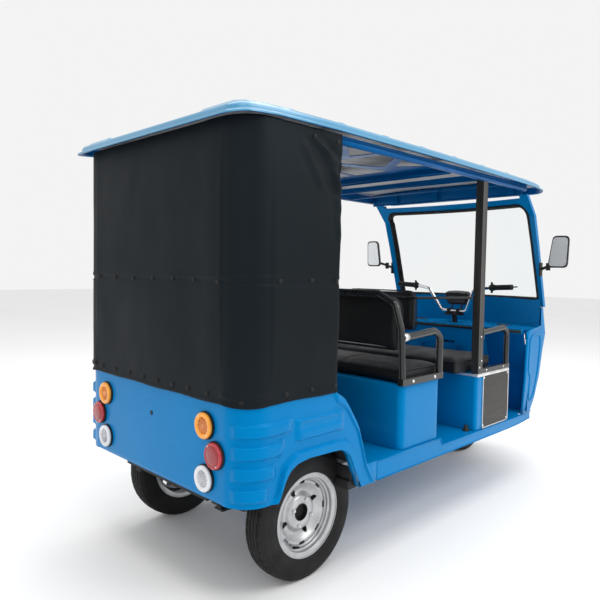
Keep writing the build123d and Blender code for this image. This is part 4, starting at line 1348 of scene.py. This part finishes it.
def screen_x(y, z, off):
    for a, b_ in zip(SCR, SCR[1:]):
        if z <= b_[0] or b_ is SCR[-1]:
            t = (z - a[0]) / (b_[0] - a[0])
            x = lerp(a[1], b_[1], t)
            bw = lerp(a[2], b_[2], t)
            break
    return x + bw * (1 - (y / 0.556) ** 2) + off


WZ0, WZ1, WY0, WY1, WR, WRB = 1.080, 1.668, 0.524, 0.516, 0.06, 0.028


def window_loop(grow):
    pts = []
    cs = [(WY1 + grow, WZ1 + grow, 0), (-WY1 - grow, WZ1 + grow, 90), (-WY0 - grow, WZ0 - grow, 180), (WY0 + grow, WZ0 - grow, 270)]
    arcs_ = []
    for yv, zv, a0 in cs:
        rd = (WR if a0 in (0, 90) else WRB) + grow
        cy = yv - math.copysign(rd, yv)
        cz = zv - (rd if a0 in (0, 90) else -rd)
        for i in range(9):
            a = math.radians(a0 + 90 * i / 8)
            arcs_.append((cy + rd * math.cos(a), cz + rd * math.sin(a)))
    out = []
    m_ = len(arcs_)
    for i in range(m_):
        a, b_ = arcs_[i], arcs_[(i + 1) % m_]
        L = math.hypot(a[0] - b_[0], a[1] - b_[1])
        k_ = max(1, int(L / 0.03))
        for j in range(k_):
            out.append((lerp(a[0], b_[0], j / k_), lerp(a[1], b_[1], j / k_)))
    return out


bag = Bag()
bag.tube([P(screen_x(y, z, -0.0285), y, z) for y, z in window_loop(-0.004)], 0.0085, 10, loop=True)
bag.make("windscreen_rubber_bead", "seal_rubber")
bag = Bag()
bag.tube([P(screen_x(y, z, 0.0010), y, z) for y, z in window_loop(-0.003)], 0.0070, 10, loop=True)
bag.make("windscreen_rubber_front", "seal_rubber")

# ------------------------------------------------------------------ handlebar controls, pod, mirrors
bag = Bag()
for sy in (-1, 1):
    cen = P(1.8765, sy * 0.288, 1.1528)
    ax = (Vector((1.866, 0.425, 1.160)) - Vector((1.878, 0.270, 1.152))).normalized()
    ax = Vector((ax.x, ax.y * sy, ax.z))
    bag.lathe(cen - ax * 0.014, ax, [(0, 0.0115), (0.0, 0.0185), (0.004, 0.0205), (0.026, 0.0205), (0.030, 0.0185), (0.030, 0.0115)], 24)
    bag.tube([cen + Vector((0.000, 0, 0.014)), cen + Vector((-0.010, 0, 0.034))], [0.009, 0.006], 10)
    bag.tube([cen + Vector((0.0, 0, -0.014)), cen + Vector((-0.006, 0, -0.034))], [0.009, 0.006], 10)
    # brake lever
    lev = arc_path([cen + Vector((0.020, 0, 0.0)), cen + Vector((0.036, sy * 0.020, 0.000)), cen + Vector((0.036, sy * 0.080, 0.004)), cen + Vector((0.014, sy * 0.160, 0.010))], 0.02, 5)
    bag.tube(lev, [lerp(0.0068, 0.0042, i / (len(lev) - 1)) for i in range(len(lev))], 10)
bag.make("bar_controls", "black_plastic", "front_end")
bag = Bag()
for sy in (-1, 1):
    a0 = Vector((1.866, sy * 0.425, 1.160))
    b0 = Vector((1.878, sy * 0.270, 1.152))
    dd = (b0 - a0).normalized()
    base = P(*a0)
    prof = []
    for i in range(41):
        t = i / 40
        rr = 0.0163 + (0.0010 if (i % 2) else -0.0002)
        if i in (0, 40):
            rr = 0.0182
        prof.append((t * 0.116, rr))
    prof = [(-0.003, 0.0), (-0.003, 0.0150)] + prof + [(0.1165, 0.0150), (0.1165, 0.0)]
    bag.lathe(base, dd, prof, 24)
gr = bag.make("ribbed_grips", "seal_rubber", "front_end")
sharp(gr, 60)
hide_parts("handlebar_grips")

# the bar itself, smooth bends
BARP = [(1.866, 0.425, 1.160), (1.878, 0.270, 1.152), (1.858, 0.170, 1.138), (1.906, 0.092, 0.986)]
pts = [P(x, -y, z) for x, y, z in BARP] + [P(x, y, z) for x, y, z in reversed(BARP)]
bag = Bag()
bag.tube(arc_path(pts, 0.030, 10), 0.0110, 20)
bar = bag.make("handlebar_tube", "bar_chrome", "front_end")
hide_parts("handlebar")
bag = Bag()
for sy in (-1, 1):
    bag.block(1.889, 1.924, *sorted((sy * 0.022, sy * 0.046)), 0.968, 1.002)
cl = bag.make("bar_clamps", "chassis_black", "front_end", smooth=False)
bevel(cl, 0.004, 3)


def pod():
    g = Bag()
    rot = Matrix.Rotation(math.radians(-14), 4, "Y")
    cen = P(1.962, 0, 1.076)
    rings = []
    for dx, ky, kz, oz in ((-0.029, 0.90, 0.86, 0.0), (-0.0285, 0.95, 0.92, 0.0), (-0.024, 1.0, 1.0, 0.0), (0.006, 1.0, 1.0, 0.0), (0.020, 0.94, 0.92, 0.0), (0.029, 0.78, 0.76, 0.0)):
        ring = []
        for cy, cz, a0 in ((1, 1, 0), (-1, 1, 90), (-1, -1, 180), (1, -1, 270)):
            rd = 0.020
            wy = 0.088 if cz > 0 else 0.076
            for i in range(7):
                a = math.radians(a0 + 90 * i / 6)
                yy = (cy * (wy - rd) + rd * math.cos(a)) * ky
                zz = (cz * (0.044 - rd) + rd * math.sin(a)) * kz + oz
                v_ = rot @ Vector((dx, yy, zz))
                ring.append(cen + v_)
        rings.append(ring)
    g.ring_sweep(rings)
    # visor
    rings = []
    for dx, hh, ww in ((-0.046, 0.047, 0.070), (-0.028, 0.0495, 0.074), (0.005, 0.0475, 0.070), (0.024, 0.041, 0.056)):
        ring = []
        for i in range(13):
            t = -1 + 2 * i / 12
            ring.append(cen + rot @ Vector((dx, ww * t, hh - 0.010 * t * t * t * t)))
        for i in range(13):
            t = 1 - 2 * i / 12
            ring.append(cen + rot @ Vector((dx, ww * t * 0.97, hh - 0.005 - 0.010 * t * t * t * t)))
        rings.append(ring)
    g.ring_sweep(rings)
    for sy in (-1, 1):
        g.tube([P(1.936, sy * 0.036, 0.976), P(1.940, sy * 0.036, 1.00), P(1.952, sy * 0.036, 1.045)], [0.0075, 0.006, 0.006], 10)
    ob = g.make("instrument_pod_shell", "black_plastic", "front_end")
    sharp(ob, 40)
    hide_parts("instrument_pod")
    # dark display with a thin bezel
    g = Bag()
    rings = []
    for dx, ky in ((-0.0292, 0.80), (-0.0305, 0.78), (-0.0305, 0.74), (-0.0296, 0.72)):
        ring = []
        for cy, cz, a0 in ((1, 1, 0), (-1, 1, 90), (-1, -1, 180), (1, -1, 270)):
            for i in range(5):
                a = math.radians(a0 + 90 * i / 4)
                ring.append(cen + rot @ Vector((dx, (cy * 0.068 + 0.012 * math.cos(a)) * ky, (cz * 0.026 + 0.012 * math.sin(a)) * ky)))
        rings.append(ring)
    g.ring_sweep(rings)
    g.make("instrument_display", "deck_dark", "front_end")


pod()


def mirror(sy):
    nm = "right" if sy < 0 else "left"
    outline = [(-0.628, 1.284), (-0.744, 1.284), (-0.750, 1.474), (-0.656, 1.476)]
    cy = sum(a for a, b_ in outline) / 4
    cz = sum(b_ for a, b_ in outline) / 4

    def loop(k_, rd=0.026, n=7):
        out = []
        m_ = len(outline)
        q_ = [((a - cy) * k_ + cy, (b_ - cz) * k_ + cz) for a, b_ in outline]
        for i in range(m_):
            p0, p1, p2 = Vector(q_[i - 1]), Vector(q_[i]), Vector(q_[(i + 1) % m_])
            u1, u2_ = (p0 - p1).normalized(), (p2 - p1).normalized()
            a_, b_ = p1 + u1 * rd, p1 + u2_ * rd
            for j in range(n + 1):
                t = j / n
                w_ = a_ * (1 - t) ** 2 + p1 * 2 * t * (1 - t) + b_ * t * t
                out.append((w_.x, w_.y))
        return out
    g = Bag()
    rings = []
    for x, k_ in ((1.8938, 0.90), (1.8922, 0.925), (1.8922, 0.985), (1.8950, 1.0), (1.9060, 1.0), (1.9150, 0.96), (1.9200, 0.86), (1.9218, 0.70)):
        rings.append([P(x, -sy * a if sy > 0 else a, b_) for a, b_ in loop(k_)])
    if sy > 0:
        rings = [[Vector((w_.x, abs(w_.y), w_.z)) for w_ in rg] for rg in rings]
    g.ring_sweep(rings)
    f_ = (lambda y_: -y_) if sy > 0 else (lambda y_: y_)
    g.tube(arc_path([P(1.916, f_(-0.662), 1.312), P(1.945, f_(-0.640), 1.304), P(1.958, f_(-0.604), 1.292), P(1.966, f_(-0.566), 1.276)], 0.02, 5), 0.0088, 12)
    g.lathe(P(1.958, f_(-0.608), 1.268), (0, 0, 1), [(0, 0.0), (0, 0.0135), (0.044, 0.0135), (0.046, 0.0110), (0.046, 0.0)], 20)
    ob = g.make(f"mirror_shell_{nm}", "black_plastic")
    sharp(ob, 45)
    g = Bag()
    g.block(1.946, 1.986, *sorted((f_(-0.5562), f_(-0.5640))), 1.232, 1.316)
    br = g.make(f"mirror_bracket_{nm}", "black_plastic", smooth=False)
    bevel(br, 0.0028, 2)
    g = Bag()
    rings = []
    for x, k_ in ((1.8934, 0.905), (1.8929, 0.90), (1.8926, 0.6), (1.8924, 0.3)):
        rings.append([P(x, f_(a), b_) for a, b_ in loop(k_, 0.026 * k_)])
    g.ring_sweep(rings)
    gl = g.make(f"mirror_face_{nm}", "mirror_face")
    sharp(gl, 30)
    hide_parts("mirror_housings")
    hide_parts("mirror_glasses")


mirror(-1)
mirror(1)

# ------------------------------------------------------------------ headlamps at the nose
for sy, nm in ((-1, "right"), (1, "left")):
    cen = P(2.190, sy * 0.330, 0.792)
    ax = Vector((0.94, sy * 0.30, -0.06)).normalized()
    g = Bag()
    g.lathe(cen, ax, [(-0.030, 0.0), (-0.030, 0.058), (0.012, 0.0710), (0.020, 0.0712), (0.024, 0.0680), (0.020, 0.0640), (0.004, 0.060), (-0.012, 0.035), (-0.018, 0.0)], 48)
    hb = g.make(f"headlamp_bowl_{nm}", "alu_trim")
    sharp(hb, 45)
    g = Bag()
    g.lathe(cen, ax, [(0.016, 0.0645), (0.022, 0.055), (0.028, 0.036), (0.031, 0.015), (0.0315, 0.0)], 48)
    hl = g.make(f"headlamp_lens_{nm}", "lamp_clear")
    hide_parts("headlamps")

# ------------------------------------------------------------------ underbody
bag = Bag()
for sy in (-1, 1):
    bag.block(0.150, 0.206, *sorted((sy * 0.480, sy * 0.556)), 0.345, 0.385)
    bag.block(0.160, 0.172, *sorted((sy * 0.470, sy * 0.560)), 0.385, 0.440)
ub = bag.make("sill_end_brackets", "chassis_black", smooth=False)
bevel(ub, 0.004, 2)
bag = Bag()
for sy in (-1, 1):
    bag.block(0.205, 0.326, *sorted((sy * 0.5655, sy * 0.5705)), 0.3530, 0.4365)
    bag.block(0.205, 0.252, *sorted((sy * 0.5300, sy * 0.5705)), 0.4320, 0.4368)
se = bag.make("sill_end_plates", "body_blue", smooth=False)
bevel(se, 0.0015, 2)
bag = Bag()
bag.lathe(P(0, -0.060, TR), (0, -1, 0), [(-0.062, 0.0), (-0.062, 0.070), (-0.050, 0.088), (-0.020, 0.098), (0.020, 0.098), (0.050, 0.088), (0.062, 0.070), (0.062, 0.0)], 48)
for k in range(8):
    a = 2 * math.pi * k / 8
    cpt = P(0, -0.060, TR) + Vector((0.104 * math.sin(a), 0, 0.104 * math.cos(a)))
    bag.tube([cpt - Vector((0, 0.012, 0)), cpt + Vector((0, 0.012, 0))], 0.0075, 8)
dg_ = bag.make("differential_ribs", "chassis_grey")
sharp(dg_, 40)
bag = Bag()
bag.lathe(P(0, 0.148, TR), (0, 1, 0), [(-0.002, 0.0), (-0.002, 0.090), (0.004, 0.092), (0.012, 0.090), (0.014, 0.040), (0.030, 0.034), (0.031, 0.0)], 48)
for k in range(18):
    a = 2 * math.pi * k / 18
    cpt = P(0, 0.0, TR) + Vector((0.0865 * math.sin(a), 0, 0.0865 * math.cos(a)))
    bag.tube([cpt + Vector((0, 0.004, 0)), cpt + Vector((0, 0.140, 0))], 0.0026, 6)
mf = bag.make("motor_fins", "chassis_black")
sharp(mf, 40)

# ------------------------------------------------------------------ stage and light
bm = bmesh.new()
bmesh.ops.create_grid(bm, x_segments=1, y_segments=1, size=30)
me = bpy.data.meshes.new("floor")
bm.to_mesh(me)
bm.free()
floor = bpy.data.objects.new("floor", me)
COL.objects.link(floor)
q = Mat("floor_white")
q.vary((0.86, 0.86, 0.86), (0.88, 0.88, 0.88), 0.5).rough(0.75, 0.85, 1.0).bump(q.noise(3.0), 0.02, 0.001)
floor.data.materials.append(q.m)
w = bpy.data.worlds.new("studio")
bpy.context.scene.world = w
w.use_nodes = True
w.node_tree.nodes["Background"].inputs["Color"].default_value = (1, 1, 1, 1)
w.node_tree.nodes["Background"].inputs["Strength"].default_value = 0.90


def area(name, loc, target, size, power):
    l = bpy.data.lights.new(name, "AREA")
    l.shape = "SQUARE"
    l.size = size
    l.energy = power
    o = bpy.data.objects.new(name, l)
    COL.objects.link(o)
    o.location = loc
    o.rotation_mode = "QUATERNION"
    o.rotation_quaternion = (Vector(target) - Vector(loc)).to_track_quat("-Z", "Y")
    return o


area("key", (1.2, -5.0, 4.6), (0, 0, 0.7), 2.6, 130)
area("top", (0, 0, 6.0), (0, 0, 0), 6.0, 270)
area("fill", (-5.0, -2.0, 3.4), (0, 0, 0.8), 3.0, 30)
